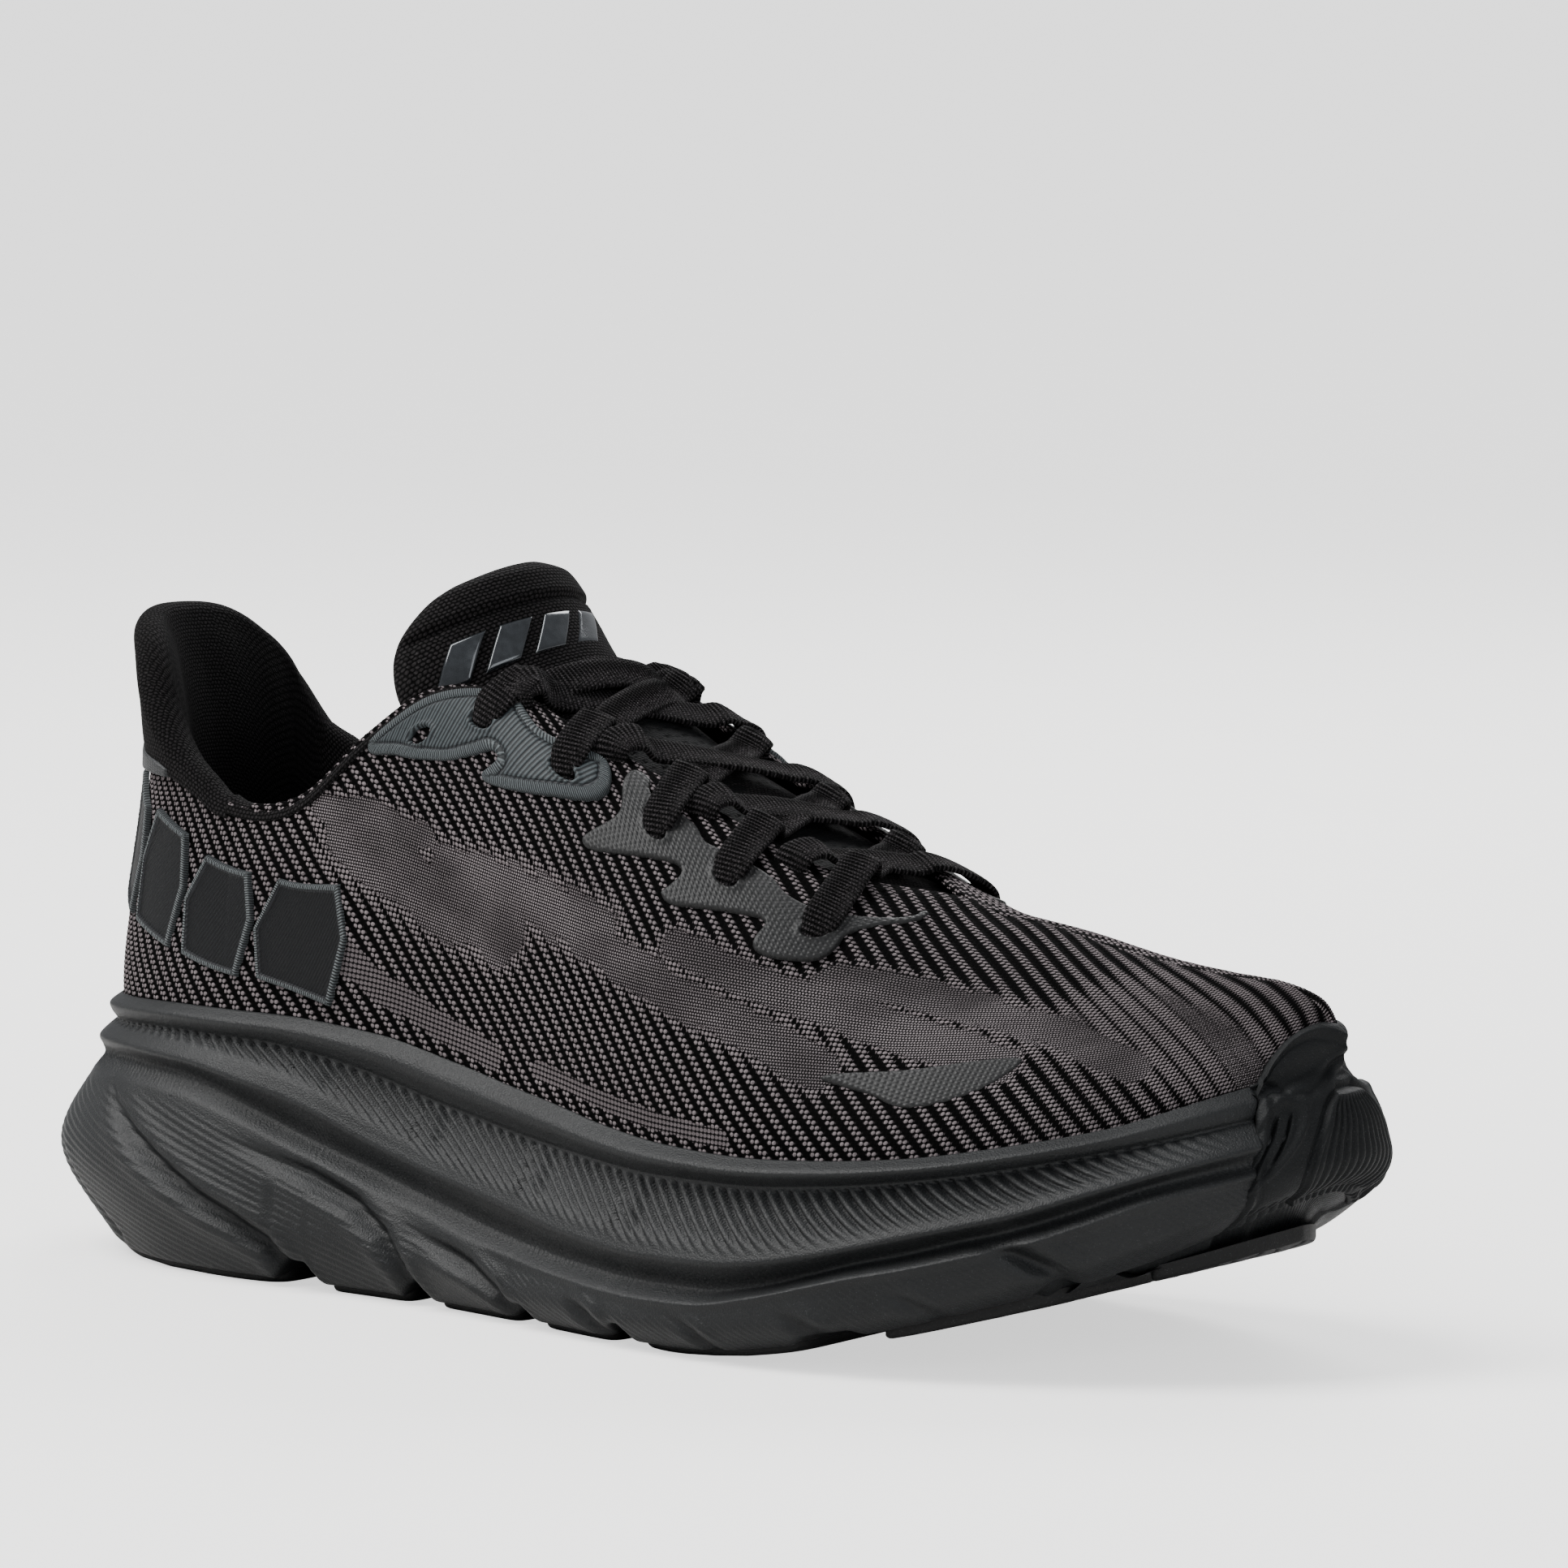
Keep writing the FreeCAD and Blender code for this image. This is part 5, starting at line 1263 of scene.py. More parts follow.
def fill_loop(loop, step):
    """Points and triangles filling a flat loop, with two rings close to the edge."""
    low, high = loop.min(0), loop.max(0)
    x, y = np.meshgrid(np.arange(low[0], high[0], step),
                       np.arange(low[1], high[1], step * 0.87), indexing="ij")
    x = x + (np.arange(x.shape[1])[None] % 2) * step * 0.5
    fill = np.stack([x.ravel(), y.ravel()], -1)
    fill = fill[inside_loop(fill, loop)]
    fill = fill[loop_distance(fill, loop)[0] > step * 0.55]
    along = np.roll(loop, -1, axis=0) - np.roll(loop, 1, axis=0)
    normal = unit(np.stack([-along[:, 1], along[:, 0]], -1), 1e-9)
    if not inside_loop(loop[:1] + normal[:1] * 0.05, loop)[0]:
        normal = -normal
    # the rings keep the bevel crisp
    rings = [loop + normal * distance for distance in (0.16, 0.36)]
    rings = [ring[inside_loop(ring, loop)] for ring in rings]
    rings = [ring[loop_distance(ring, loop)[0] > 0.12] for ring in rings]
    points = np.concatenate([loop] + rings + [fill])
    edges = [(k, (k + 1) % len(loop)) for k in range(len(loop))]
    verts, _, faces, _, _, _ = delaunay_2d_cdt(
        [Vector(q) for q in points.tolist()], edges, [], 0, 1e-5)
    points = np.array([[q.x, q.y] for q in verts])
    tris = np.array([face for face in faces if len(face) == 3], int)
    tris = tris[inside_loop(points[tris].mean(1), loop)]
    used = np.unique(tris)
    renumber = -np.ones(len(points), int)
    renumber[used] = np.arange(len(used))
    return points[used], renumber[tris]


def patch(name, corners, mat, rise, bevel, step, base, relief=None, side="lateral", eyelets=(),
          smooth=True):
    """A raised patch with a rounded edge; corners and eyelets are (lap, level)."""
    corners = np.asarray(corners, float)
    lap, level = corners.mean(0)
    lap_mm = float(np.linalg.norm(skin(lap + 0.05, level) - skin(lap - 0.05, level)) / 0.1)
    above, below = min(level + 0.03, 1.0), level - 0.03
    level_mm = float(np.linalg.norm(skin(lap, above) - skin(lap, below)) / (above - below))
    scale = np.array([lap_mm, level_mm])
    loop = (smooth_loop if smooth else straight_loop)(corners * scale, step)
    flat, tris = fill_loop(loop, step)
    edge, edge_run = loop_distance(flat, loop)
    under = 0.25   # the edge starts this far below the surface
    height = -under + (rise + under) * round_edge(edge / bevel)
    hole = np.zeros(len(flat))
    for centre in eyelets:
        # oval of 2.7 by 1.9 mm half sizes, with a raised rim
        off = (flat - np.array(centre) * scale) / (2.7, 1.9)
        out = np.hypot(off[:, 0], off[:, 1])
        height = height + 0.35 * bell(out - 1.22, 0.22) - 2.6 * (1 - ramp(out, 0.62, 1.02))
        hole = np.maximum(hole, 1 - ramp(out, 0.86, 1.0))
    if relief is not None:
        height = height + relief(flat, edge, edge_run) * ramp(edge, 0.2, 0.9)
    laps, levels = flat[:, 0] / lap_mm, flat[:, 1] / level_mm
    if side == "medial":
        laps = 40 - laps
    points = skin_in(laps, np.clip(levels, -0.2, 1.0), -height - base)
    first, second, third = points[tris.T]
    first_normal = skin_normal(laps[tris[:, 0]], np.clip(levels[tris[:, 0]], 0, 1))
    if (np.cross(second - first, third - first) * first_normal).sum() < 0:
        tris = tris[:, ::-1]
    return new_mesh(name, points, mat, tris=tris, mm=flat,
                    extra={"edge": edge, "bs": edge_run, "hole": hole})


# Outlines and eyelets as lap, level
STITCHED = [
    (7.04, .955), (7.06, .915), (7.35, .86), (7.62, .81), (8.02, .775), (8.4, .785),
    (8.66, .805), (8.73, .79), (8.62, .765), (8.52, .745), (8.55, .722), (8.8, .715),
    (9.16, .725), (9.5, .752), (9.78, .782), (9.96, .815), (10.05, .86), (10.03, .92),
    (9.92, .942), (9.7, .93), (9.42, .912), (9.24, .918), (9.12, .95), (9.02, .985), (8.8, .99),
    (8.4, .985), (7.9, .98), (7.42, .975), (7.14, .97)]
WELDED = [
    (10.20, .95), (10.16, .90), (10.18, .82), (10.08, .77), (9.90, .72), (9.80, .685),
    (9.88, .668), (10.15, .69), (10.56, .738), (10.84, .765), (10.90, .745), (10.82, .70),
    (10.75, .668), (10.86, .652), (11.08, .672), (11.4, .71), (11.68, .738), (11.77, .728),
    (11.74, .68), (11.76, .65), (11.88, .638), (12.1, .643), (12.32, .655), (12.41, .69),
    (12.43, .745), (12.53, .775), (12.66, .795), (12.79, .812), (12.86, .84), (12.85, .872),
    (12.79, .87), (12.78, .849), (12.71, .834), (12.60, .828), (12.42, .825), (12.16, .825),
    (11.96, .835), (11.78, .85), (11.66, .875), (11.48, .885), (11.20, .88), (11.02, .875),
    (10.90, .905), (10.74, .915), (10.52, .905), (10.42, .93), (10.40, .965), (10.28, .97)]
EYELETS = [(7.74, .87), (8.56, .885), (9.54, .83), (10.56, .82), (11.3, .80), (12.18, .745)]
LEAF = [
    (12.82, .315), (13.6, .36), (14.3, .415), (14.72, .425), (14.55, .34), (14.32, .295),
    (14.02, .262), (13.7, .25), (13.38, .278)]
SIDE_MARKS = [  # back lap, front lap, then levels: lower back, upper back, lower front, upper front
    (1.9, 2.95, .66, .34, .62, .30), (3.1, 4.15, .70, .30, .70, .27),
    (4.3, 5.35, .70, .27, .67, .24), (5.5, 6.6, .66, .24, .53, .14)]


def stitched_relief(flat, edge, edge_run):
    """Satin border, diagonal fill and the groove between them."""
    diagonal = wave(flat[:, 0] * 0.8 - flat[:, 1] * 0.6, 1.56)
    return (0.06 * wave(edge_run, 1.05) * (1 - ramp(edge, 2.0, 2.3))
            + 0.05 * diagonal * ramp(edge, 2.2, 2.6) - 0.42 * bell(edge - 2.5, 0.28))


def welded_relief(flat, edge, edge_run):
    x, y = flat.T
    return 0.05 * wave(x, 2.3) * wave(y * 0.95 + x * 0.25, 1.9)


def mark_relief(flat, edge, edge_run):
    """Stitched border round a sunk middle."""
    return (0.09 * wave(edge_run, 1.0) * (1 - ramp(edge, 0.9, 1.2))
            - 0.40 * ramp(edge, 1.25, 1.6))


def build_eyestays():
    for side in ("lateral", "medial"):
        obj = patch("eyestay_stitched_" + side, STITCHED, EYESTAY_THREAD, rise=1.15, bevel=0.8,
                    step=0.46, base=0.15, relief=stitched_relief, side=side,
                    eyelets=EYELETS[:3])
        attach(obj, "rear")
        assign(obj, "embroidery", "eyestay_embroidery_" + side)
        obj = patch("eyestay_welded_" + side, WELDED, FILM, rise=0.75, bevel=0.7,
                    step=0.50, base=0.15, relief=welded_relief, side=side, eyelets=EYELETS[3:])
        flex(obj)
        assign(obj, "film", "eyestay_film_" + side)


def build_marks():
    """Four slanted six-sided marks on the lateral heel and a leaf on the forefoot."""
    for k, (back, front, back_a, back_b, front_a, front_b) in enumerate(SIDE_MARKS):
        notch = 0.22 * (front - back)
        corners = [(back + notch * 1.2, back_a), (front, front_a + 0.02),
                   (front + notch * 0.35, 0.5 * (front_a + front_b) + 0.03),
                   (front - notch * 0.6, front_b), (back, back_b),
                   (back - notch * 0.2, 0.5 * (back_a + back_b))]
        obj = patch("side_mark_%d" % (k + 1), corners, MARK_THREAD, rise=1.05, bevel=0.5,
                    step=0.45, base=0.12, relief=mark_relief, smooth=False)
        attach(obj, "rear")
        assign(obj, "embroidery", "heel_mark_%d" % (k + 1))
    obj = patch("forefoot_leaf", LEAF, FILM, rise=0.5, bevel=0.5, step=0.6, base=0.12)
    flex(obj)
    assign(obj, "film", "forefoot_overlay")


def build_heel_band():
    """Grey band round the back of the heel, between the knit and the padded tab."""
    rows, columns = 260, 26
    lap = np.linspace(-3.75, 3.75, rows)
    level = np.zeros((rows, columns))
    levels = np.linspace(0.3, 1, 160)
    low = 98.6
    for k, place in enumerate(lap):
        high = low + 5.6 * math.sqrt(max(0.0, 1 - abs(place / 3.8) ** 3)) + 0.5
        level[k] = np.interp(np.linspace(low, high, columns), skin(place, levels)[:, 2], levels)
    along = np.linspace(-1, 1, rows)[:, None]
    up = np.linspace(-1, 1, columns)[None]
    edge = np.minimum((1 - np.abs(along)) * 40, (1 - np.abs(up)) * 3.0)
    height = -0.3 + 1.75 * ease(edge) + 0.05 * np.cos(up * 30)
    points = skin_in(np.broadcast_to(lap[:, None], level.shape), level, -height)
    flat = np.stack([along * 45 + 0 * up, up * 3 + 0 * along], -1)
    obj = outward(grid_mesh("heel_band", points, STRIP_FILM, flat), away_from=(60, 0, 100))
    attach(obj, "rear")
    assign(obj, "film", "heel_strip")


# ---------------------------------------------------------------- tongue
TONGUE_LINE = np.array([  # x, y, z of its middle, from the toe end up to its tip
    (214, 6.8, 79.4), (200, 4.8, 83.8), (180, 3.4, 91.9), (160, 2.6, 100.6), (142, 2.1, 109.8),
    (128.5, 1.6, 119.2), (118.8, 1.0, 131.0), (111, 0.4, 144.8)], float)
TONGUE_WIDTH = [  # share along, half width
    (0, 12), (0.1, 19), (0.3, 25.0), (0.5, 26.5), (0.66, 27.0), (0.78, 29.0), (0.86, 29.5),
    (0.92, 27.0), (0.965, 21.5), (0.99, 16), (1.0, 12)]
TONGUE_DROP = [  # share along, how far the sides hang below the middle
    (0, 1.5), (0.1, 5), (0.3, 9), (0.55, 13), (0.7, 18), (0.82, 23), (0.9, 21), (0.96, 14),
    (1.0, 8)]
TONGUE_ARC = 1.25                   # half angle of the cross section, radians
TONGUE_FREE = np.array([0.66, 0.82])  # shares along between which it leaves the shoe


def tongue_middle(along):
    return open_at(TONGUE_LINE, np.clip(along, 0, 1) * (len(TONGUE_LINE) - 1))


def tongue(along, across):
    """Face and normals of the tongue; along is 0 to 1, across is -1 to 1."""
    along, across = np.broadcast_arrays(along, across)
    tangent = tongue_middle(along + 0.02) - tongue_middle(along - 0.02)
    tangent[..., 1] = 0
    tangent = unit(tangent)
    normal = np.stack([-tangent[..., 2], 0 * along, tangent[..., 0]], -1)
    normal = np.where((tangent[..., 0] > 0)[..., None], normal, -normal)
    width, depth = curve(TONGUE_WIDTH, along), curve(TONGUE_DROP, along)
    angle = across * TONGUE_ARC
    # under the laces it is flat and only its edges turn down
    flat = 0.62 * (1 - ramp(along, 0.62, 0.78))
    drop = depth * ((1 - flat) * (1 - np.cos(angle)) / (1 - math.cos(TONGUE_ARC))
                    + flat * np.abs(across) ** 5)
    tilt = (depth / np.maximum(width, 1)) * (
        (1 - flat) * np.sin(angle) * 1.4 + flat * 4.0 * np.sign(across) * across ** 4)
    points = tongue_middle(along) - normal * drop[..., None]
    points[..., 1] += width * np.sin(angle) / math.sin(TONGUE_ARC)
    return points, unit(np.stack([normal[..., 0], tilt, normal[..., 2]], -1))


def assign_tongue(obj, slot, *parts):
    start, end = tongue_middle(TONGUE_FREE)
    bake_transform(obj)
    assign(obj, slot, *parts)


def build_tongue():
    """The padded tongue; gives back its outer face and normals for the laces to lie on."""
    along = np.linspace(0.0, 1.0, 420)[:, None]
    across = np.linspace(-1, 1, 150)[None]
    face, normals = tongue(along, across)
    run = run_length(tongue_middle(along[:, 0]))[:, None] + 0 * across
    top = run[-1:] - run
    side = curve(TONGUE_WIDTH, along) * across
    edge = (1 - np.abs(across)) * curve(TONGUE_WIDTH, along)
    thick = curve([(0, 1.2), (0.3, 2.4), (0.55, 3.4), (0.72, 5.0), (0.86, 6.2), (0.95, 5.6),
                   (1.0, 3.6)], along)
    rounded = round_edge(np.minimum(edge / 4.0, top / 3.6))
    body = 0.8 * np.clip(edge / 9.0, 0, 1) * np.clip(top / 9.0, 0, 1)
    # a sewn line round the edge and another across below the lip
    seam = (-0.85 * bell(top - 8.6, 0.75) * ramp(edge, 0.5, 2.5)
            - 0.45 * bell(edge - 3.2, 0.55) * ramp(top, 7, 10))
    lip = 0.7 * ramp(top, 0.2, 2.5) * (1 - ramp(top, 6.8, 8.6))
    stitches = (0.12 * wave(side, 2.4) * bell(top - 9.8, 0.4)
                + 0.12 * wave(run, 2.4) * bell(edge - 4.2, 0.4) * ramp(top, 9, 10))
    uneven = 0.35 * np.sin(run / 7.5 + 1.1 * np.sin(side / 9)) * np.sin(side / 8.0 + 0.5)
    uneven = uneven * ramp(edge, 2, 8)
    relief = (rounded - 1) * 0.42 * thick + body + seam + lip + stitches + uneven
    depth = thick * (0.50 + 0.50 * rounded) - (1 - rounded) * 0.08 * thick
    inner = face - normals * depth[..., None]
    outer = face + normals * relief[..., None]
    obj = shell_mesh("tongue_pad", outer, inner, TONGUE_CLOTH, np.stack([side, run], -1))
    assign_tongue(obj, "lining_fabric", "tongue_cover_lower", "tongue_foam_lower",
                  "tongue_cover_top", "tongue_foam_top")
    return outer, normals


def build_tongue_film():
    """Film panel in the middle of the tongue, dimpled every 4 mm in staggered rows."""
    count, long_mm, wide_mm = 150, 95, 25
    share = np.linspace(0, 1, count)
    a, b = np.meshgrid(share, share, indexing="ij")
    points, normals = tongue(0.18 + 0.52 * a, -0.50 + 1.0 * b)
    edge = np.minimum(np.minimum(a, 1 - a) * 26, np.minimum(b, 1 - b) * 20)
    points = points + normals * (-0.5 + 1.55 * round_edge(edge))[..., None]
    run, side = a * long_mm, b * wide_mm
    dimple = bell(np.hypot((run + 2.0) % 4.0 - 2.0,
                           (side + 2.0 * (np.floor(run / 4.0) % 2)) % 4.0 - 2.0), 0.7)
    points = points - normals * (0.5 * dimple)[..., None]
    obj = outward(grid_mesh("tongue_film", points, PANEL_FILM, np.stack([run, side], -1),
                            {"hole": dimple}), along=UP)
    assign_tongue(obj, "film", "tongue_film_panel")


def build_tongue_blocks():
    """Four glossy slanted blocks near the top of the tongue."""
    count, width = 40, 0.20
    a = np.linspace(0, 1, count)[:, None] + np.zeros((1, count))
    b = np.linspace(-1, 1, count)[None] + np.zeros((count, 1))
    edge = np.minimum(np.minimum(a, 1 - a) * 7, (1 - np.abs(b)) * 4)
    height = (0.55 + 0.62 * round_edge(edge))[..., None]
    blocks = []
    for centre in (-0.66, -0.38, -0.10, 0.18):
        slanted = centre + width * 0.5 * b + 0.17 * (a - 0.5)
        points, normals = tongue(0.822 + 0.068 * a, slanted)
        blocks.append((points + normals * height).reshape(-1, 3))
    quads = [grid_quads(count, count) + k * count * count for k in range(len(blocks))]
    flat = np.tile(np.stack([a * 14, b * 4], -1).reshape(-1, 2), (len(blocks), 1))
    obj = outward(new_mesh("tongue_blocks", np.concatenate(blocks), GLOSS,
                           np.concatenate(quads), mm=flat), along=(0.5, 0, 1))
    assign_tongue(obj, "gloss_print", "tongue_mark")


# ---------------------------------------------------------------- laces
STRAND_POINTS = 120
RIB_PITCH = 0.95


def even_path(points, count=STRAND_POINTS):
    length = run_length(points)
    return interp_columns(np.linspace(0, length[-1], count), length, points), length[-1]


def relax(points, times, fixed):
    """Average a path with its neighbours, keeping the fixed points at both ends."""
    for _ in range(times):
        result = points.copy()
        result[1:-1] = 0.25 * points[:-2] + 0.5 * points[1:-1] + 0.25 * points[2:]
        result[:fixed], result[-fixed:] = points[:fixed], points[-fixed:]
        points = result
    return points


class Ground:
    """The surfaces a lace can lie on."""

    def __init__(self, points, normals):
        lap, level = np.meshgrid(np.linspace(7.4, 13.2, 240), np.linspace(0.70, 0.995, 70),
                                 indexing="ij")
        points, normals = [points.reshape(-1, 3)], [normals.reshape(-1, 3)]
        # the eyestays' faces on both sides
        for side_lap in (lap, 40 - lap):
            points.append(skin_in(side_lap, level, -0.9).reshape(-1, 3))
            normals.append(skin_normal(side_lap, level).reshape(-1, 3))
        self.points, self.normals = np.concatenate(points), np.concatenate(normals)
        self.tree = KDTree(len(self.points))
        for k, point in enumerate(self.points.tolist()):
            self.tree.insert(point, k)
        self.tree.balance()

    def normal_at(self, point):
        return self.normals[self.tree.find(point)[1]]

    def lift(self, path, clearance, start, end):
        """Push the path out to its clearance between two shares of its points."""
        for k in range(len(path)):
            if not start <= k / (len(path) - 1) <= end:
                continue
            nearest = self.tree.find(path[k])[1]
            normal = self.normals[nearest]
            height = (path[k] - self.points[nearest]) @ normal
            if height < clearance[k]:
                path[k] = path[k] + normal * (clearance[k] - height)
        return path


def lace_path(ground, start_lap, level, end_lap, over):
    """Middle line of a strand from its eyelet to where it goes under the opposite edge."""
    end = skin(end_lap, 1.0) + skin_normal(end_lap, 1.0) * 0.1
    eyelet = skin_in(start_lap, level, -0.4)
    normal = skin_normal(start_lap, level)
    way = unit(end - eyelet)
    way = unit(way - normal * (way @ normal))
    leave = eyelet + normal * 1.3 + way * 6.0
    controls = [skin_in(start_lap, level, 2.0) - way * 1.4,
                skin_in(start_lap, level, 0.1) - way * 0.9,
                eyelet + normal * 0.9 + way * 1.6, leave]
    controls += [leave + (end - leave) * t + UP * 1.4 * math.sin(math.pi * t)
                 for t in (0.2, 0.4, 0.6, 0.8)]
    controls += [end, skin_in(end_lap, 0.90, 3.2)]
    path = even_path(resample(np.array(controls), STRAND_POINTS))[0]
    share = np.linspace(0, 1, STRAND_POINTS)
    # lateral strands cross over the medial ones
    crossing = ramp(share, 0.26, 0.42) * (1 - ramp(share, 0.72, 0.90))
    clearance = 1.15 + (1.75 if over else 0.0) * crossing
    for _ in range(3):
        path = relax(ground.lift(path, clearance, 0.10, 0.93), 10, 6)
    path = relax(ground.lift(path, clearance - 0.15, 0.12, 0.92), 3, 6)
    return even_path(path)


def lace_strand(ground, path, length, start_lap, level, end_lap, twist_phase):
    """Points and flat coordinates of the flat braided strand along a path."""
    share = np.linspace(0, 1, STRAND_POINTS)
    tangent = unit(np.gradient(path, axis=0))
    # the face follows the ground, and the upper at both ends
    normal = np.array([ground.normal_at(point) for point in path])
    at_start = (1 - ramp(share, 0.08, 0.20))[:, None]
    at_end = ramp(share, 0.90, 0.99)[:, None]
    normal = (normal * (1 - at_start) * (1 - at_end) + skin_normal(start_lap, level) * at_start
              + skin_normal(end_lap, 0.98) * at_end)
    sideways = unit(np.cross(relax(normal, 10, 1), tangent))
    normal = np.cross(tangent, sideways)
    half_width = 3.7 * (0.52 + 0.48 * ramp(share, 0.0, 0.10))
    half_width = half_width * (0.80 + 0.20 * (1 - ramp(share, 0.88, 1.0)))
    half_thick = 0.78 * (1 + 0.35 * (1 - ramp(share, 0.0, 0.06)))
    # finer along the strand for the ribs
    fine = np.linspace(0, 1, STRAND_POINTS * 5)
    path, sideways, normal = (interp_columns(fine, share, q) for q in (path, sideways, normal))
    half_width, half_thick = (np.interp(fine, share, q)[:, None]
                              for q in (half_width, half_thick))
    run = (fine * length)[:, None]
    twist = 0.10 * np.sin(run / 7.0 + twist_phase)
    wide = sideways * np.cos(twist) + normal * np.sin(twist)
    thick = normal * np.cos(twist) - sideways * np.sin(twist)
    # cross section: a flattened round
    angle = np.linspace(0, TAU, 46, endpoint=False)
    cos, sin = np.cos(angle), np.sin(angle)
    across = (np.sign(cos) * np.abs(cos) ** 0.75)[None]
    up = (np.sign(sin) * np.abs(sin) ** 0.55)[None]
    rib = (0.10 * np.cos(TAU * run / RIB_PITCH + across * 3.0) * (1 - np.abs(across) ** 6))
    edge = 0.16 * bell(np.abs(across) - 0.93, 0.08) * (0.6 + 0.4 * wave(run, RIB_PITCH))
    height = (half_thick + rib + edge) * up - 0.12 * half_thick * across ** 2
    points = (path[:, None] + wide[:, None] * (half_width * across)[..., None]
              + thick[:, None] * height[..., None])
    return points, np.stack([run + 0 * across, half_width * across], -1)


def build_laces(tongue_face, tongue_normals):
    ground = Ground(tongue_face, tongue_normals)
    rows = EYELETS[1:]
    for i, (lap, level) in enumerate(rows):
        for side in ("medial", "lateral"):
            lateral = side == "lateral"
            if i == 0:
                under_lap = 9.02 if lateral else 8.98
            else:
                under_lap = 0.5 * (lap + rows[i - 1][0]) - 0.05
            start_lap, end_lap = (lap, 40 - under_lap) if lateral else (40 - lap, under_lap)
            path, length = lace_path(ground, start_lap, level, end_lap, over=lateral)
            points, flat = lace_strand(ground, path, length, start_lap, level, end_lap,
                                       twist_phase=i * 1.7)
            obj = outward(grid_mesh("lace_strand_%s_%d" % (side, i + 1), points, LACE, flat,
                                    close=(False, True)))
            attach(obj, "rear")
            assign(obj, "lace", "lace_%s_%d" % (side, i + 1))


# ---------------------------------------------------------------- insole and board
def bed_grid(reach, inset, lift, rows=220, columns=90, cup=6.0):
    """Sheet lift mm above the footbed, its edge turned up by cup."""
    x, y, share, _, width = span_grid(TOP_IN, inset, rows, columns, reach)
    ends = np.minimum((x - 12.0) / 22.0, (287.5 - x) / 22.0)
    edge = np.minimum(np.minimum(share, 1 - share) * width / 14.0, ends)
    z = curve(FOOTBED_Z, x) + lift + cup * (1 - ease(edge)) * (1 - 0.65 * ramp(x, 90, 150))
    z = z + 0.12 * np.sin(x / 2.4) * np.sin(y / 2.4)
    return np.stack([x, y, z], -1)


def build_bed():
    for name, reach, body, part in (
            ("insole_rear", (12.5, 218.6), "insole", "sockliner_rear"),
            ("insole_front", (221.0, 287.0), "forefoot", "sockliner_front")):
        top = bed_grid(reach, inset=3.2, lift=6.6)
        bottom = bed_grid(reach, inset=3.4, lift=2.4)
        obj = shell_mesh(name, top, bottom, INSOLE_CLOTH, top[..., :2])
        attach(obj, body)
        assign(obj, "sockliner_fabric", part)
    top, bottom = (bed_grid((13, 287), inset=2.6, lift=lift, rows=200, columns=60, cup=0.3)
                   for lift in (1.9, 0.6))
    obj = shell_mesh("board_under_foot", top, bottom, BOARD, top[..., :2])
    flex(obj)
    assign(obj, "board", "strobel_board_rear", "strobel_board_front")


# ---------------------------------------------------------------- camera, floor and light
def build_camera():
    """Long lens from the lateral side, towards the toe, a little above the shoe."""
    azimuth, elevation = math.radians(38.02), math.radians(8.37)
    distance = 1684.7                              # mm from the middle of the shoe
    aim_right, aim_up = 0.01150444, 0.03090091     # tangents of the aim off that middle
    back = np.array([math.sin(azimuth) * math.cos(elevation),
                     -math.cos(azimuth) * math.cos(elevation), math.sin(elevation)])
    right = np.array([math.cos(azimuth), math.sin(azimuth), 0.0])
    place = to_frame([150.0, 0.0, 50.0]) + back * distance * MM
    forward = unit(-back + right * aim_right + np.cross(back, right) * aim_up)
    right = unit(right - forward * (right @ forward))
    upward = np.cross(right, forward)
    data = bpy.data.cameras.new("cam")
    camera = bpy.data.objects.new("cam", data)
    bpy.context.scene.collection.objects.link(camera)
    matrix = np.eye(4)
    matrix[:3] = np.stack([right, upward, -forward, place], 1)
    camera.matrix_world = Matrix(matrix.tolist())
    data.sensor_width = 36.0
    data.lens = 195.389466
    data.clip_end = 50.0
    bpy.context.scene.camera = camera


def build_floor():
    """Pale floor that glows only as seen by the camera."""
    mesh = bpy.data.meshes.new("floor")
    mesh.from_pydata([(-14, -14, 0), (14, -14, 0), (14, 14, 0), (-14, 14, 0)], [],
                     [(0, 1, 2, 3)])
    floor = bpy.data.objects.new("floor", mesh)
    bpy.context.scene.collection.objects.link(floor)
    m = Mat("floor_mat", rough=0.6, spec=0.25)
    cloud = m.noise(m.object_mm(), scale=0.02, detail=3.0)
    m.set("Base Color", m.mix(cloud, (0.74, 0.73, 0.715), (0.78, 0.77, 0.755)))
    m.set("Emission Color", (1.0, 1.0, 1.0))
    m.set("Emission Strength", m.node("LightPath", {}, out="Is Camera Ray") * 1.15)
    mesh.materials.append(m.material)


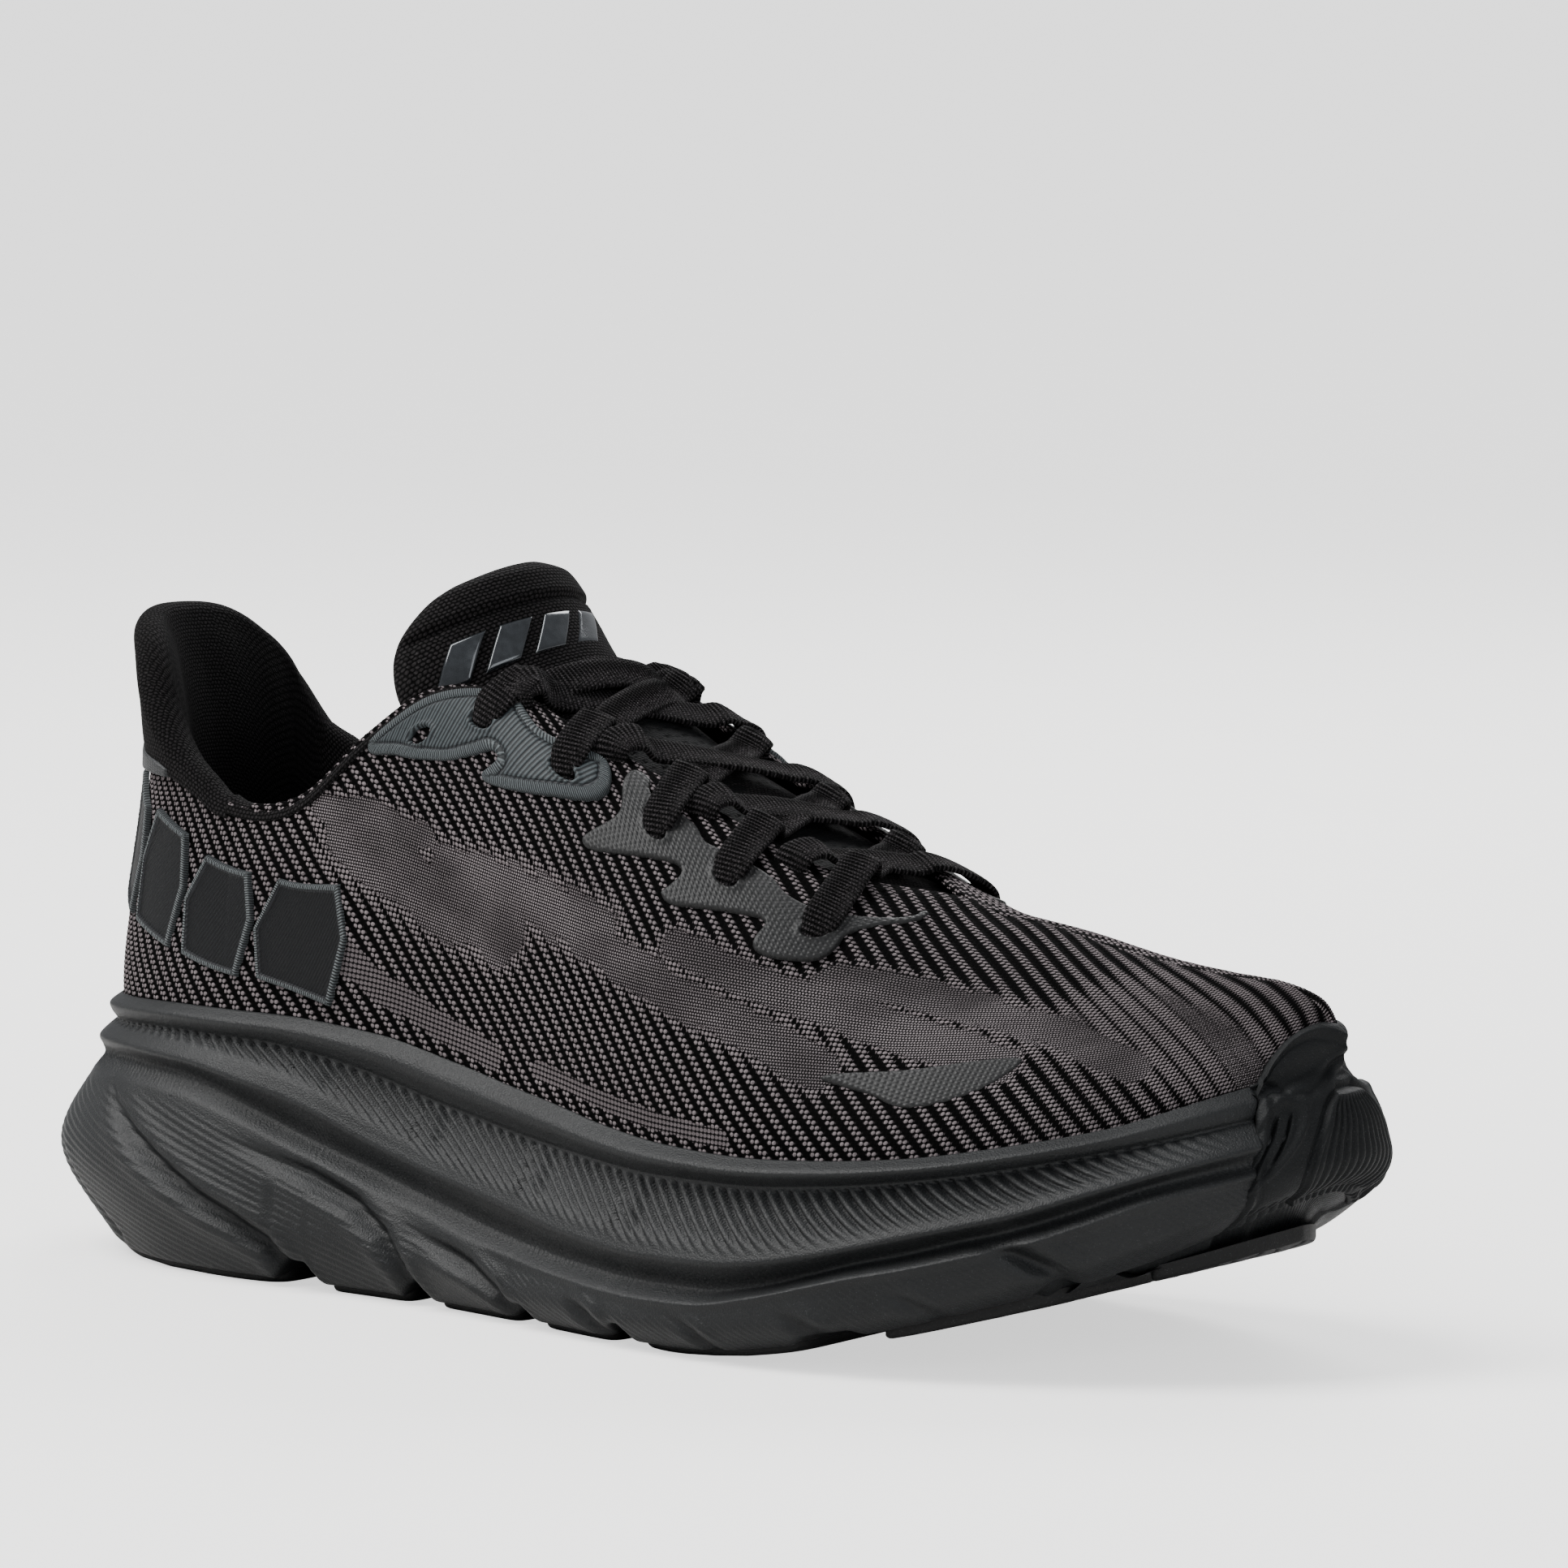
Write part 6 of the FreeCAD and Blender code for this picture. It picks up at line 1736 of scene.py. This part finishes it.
def build_world():
    """Soft sky, brighter where the camera sees it directly."""
    world = bpy.data.worlds.new("world")
    bpy.context.scene.world = world
    world.use_nodes = True
    nodes, links = world.node_tree.nodes, world.node_tree.links
    background = nodes["Background"]
    background.inputs["Color"].default_value = (0.94, 0.96, 1.0, 1)
    light_path = nodes.new("ShaderNodeLightPath")
    strength = nodes.new("ShaderNodeMapRange")
    links.new(light_path.outputs["Is Camera Ray"], strength.inputs["Value"])
    strength.inputs["To Min"].default_value = 0.50
    strength.inputs["To Max"].default_value = 2.0
    links.new(strength.outputs["Result"], background.inputs["Strength"])


def add_light(name, kind, place, aim, energy, **settings):
    """Light at place, turned to aim, both in metres."""
    data = bpy.data.lights.new(name, kind)
    data.energy = energy
    for key, value in settings.items():
        setattr(data, key, value)
    light = bpy.data.objects.new(name, data)
    bpy.context.scene.collection.objects.link(light)
    if kind == "AREA":
        light.location = place
    way = Vector(aim) - Vector(place)
    light.rotation_euler = way.to_track_quat("-Z", "Y").to_euler()


def build_lights():
    add_light("key", "AREA", (-0.75, -0.75, 1.15), (0, 0, 0.05), energy=24,
              shape="RECTANGLE", size=0.7, size_y=0.7, color=(1.0, 0.99, 0.97))
    add_light("fill", "AREA", (1.3, -0.6, 0.7), (0, 0, 0.05), energy=7,
              shape="RECTANGLE", size=0.9, size_y=0.7, color=(0.96, 0.98, 1.0))
    add_light("rim", "AREA", (-0.3, 1.1, 1.0), (0, 0, 0.08), energy=16,
              shape="RECTANGLE", size=1.0, size_y=0.5, color=(1, 1, 1))
    add_light("sun", "SUN", (-0.7, -0.35, 1.6), (0, 0, 0), energy=2.3, angle=math.radians(28))


build_midsole()
for pad_place, pad_sizes in PADS.items():
    build_pad(pad_place, *pad_sizes)
build_bumper()
build_knit()
build_vamp_lining()
build_collar()
build_eyestays()
build_marks()
build_heel_band()
tongue_face, tongue_normals = build_tongue()
build_tongue_film()
build_tongue_blocks()
build_laces(tongue_face, tongue_normals)
build_bed()
build_camera()
build_floor()
build_world()
build_lights()
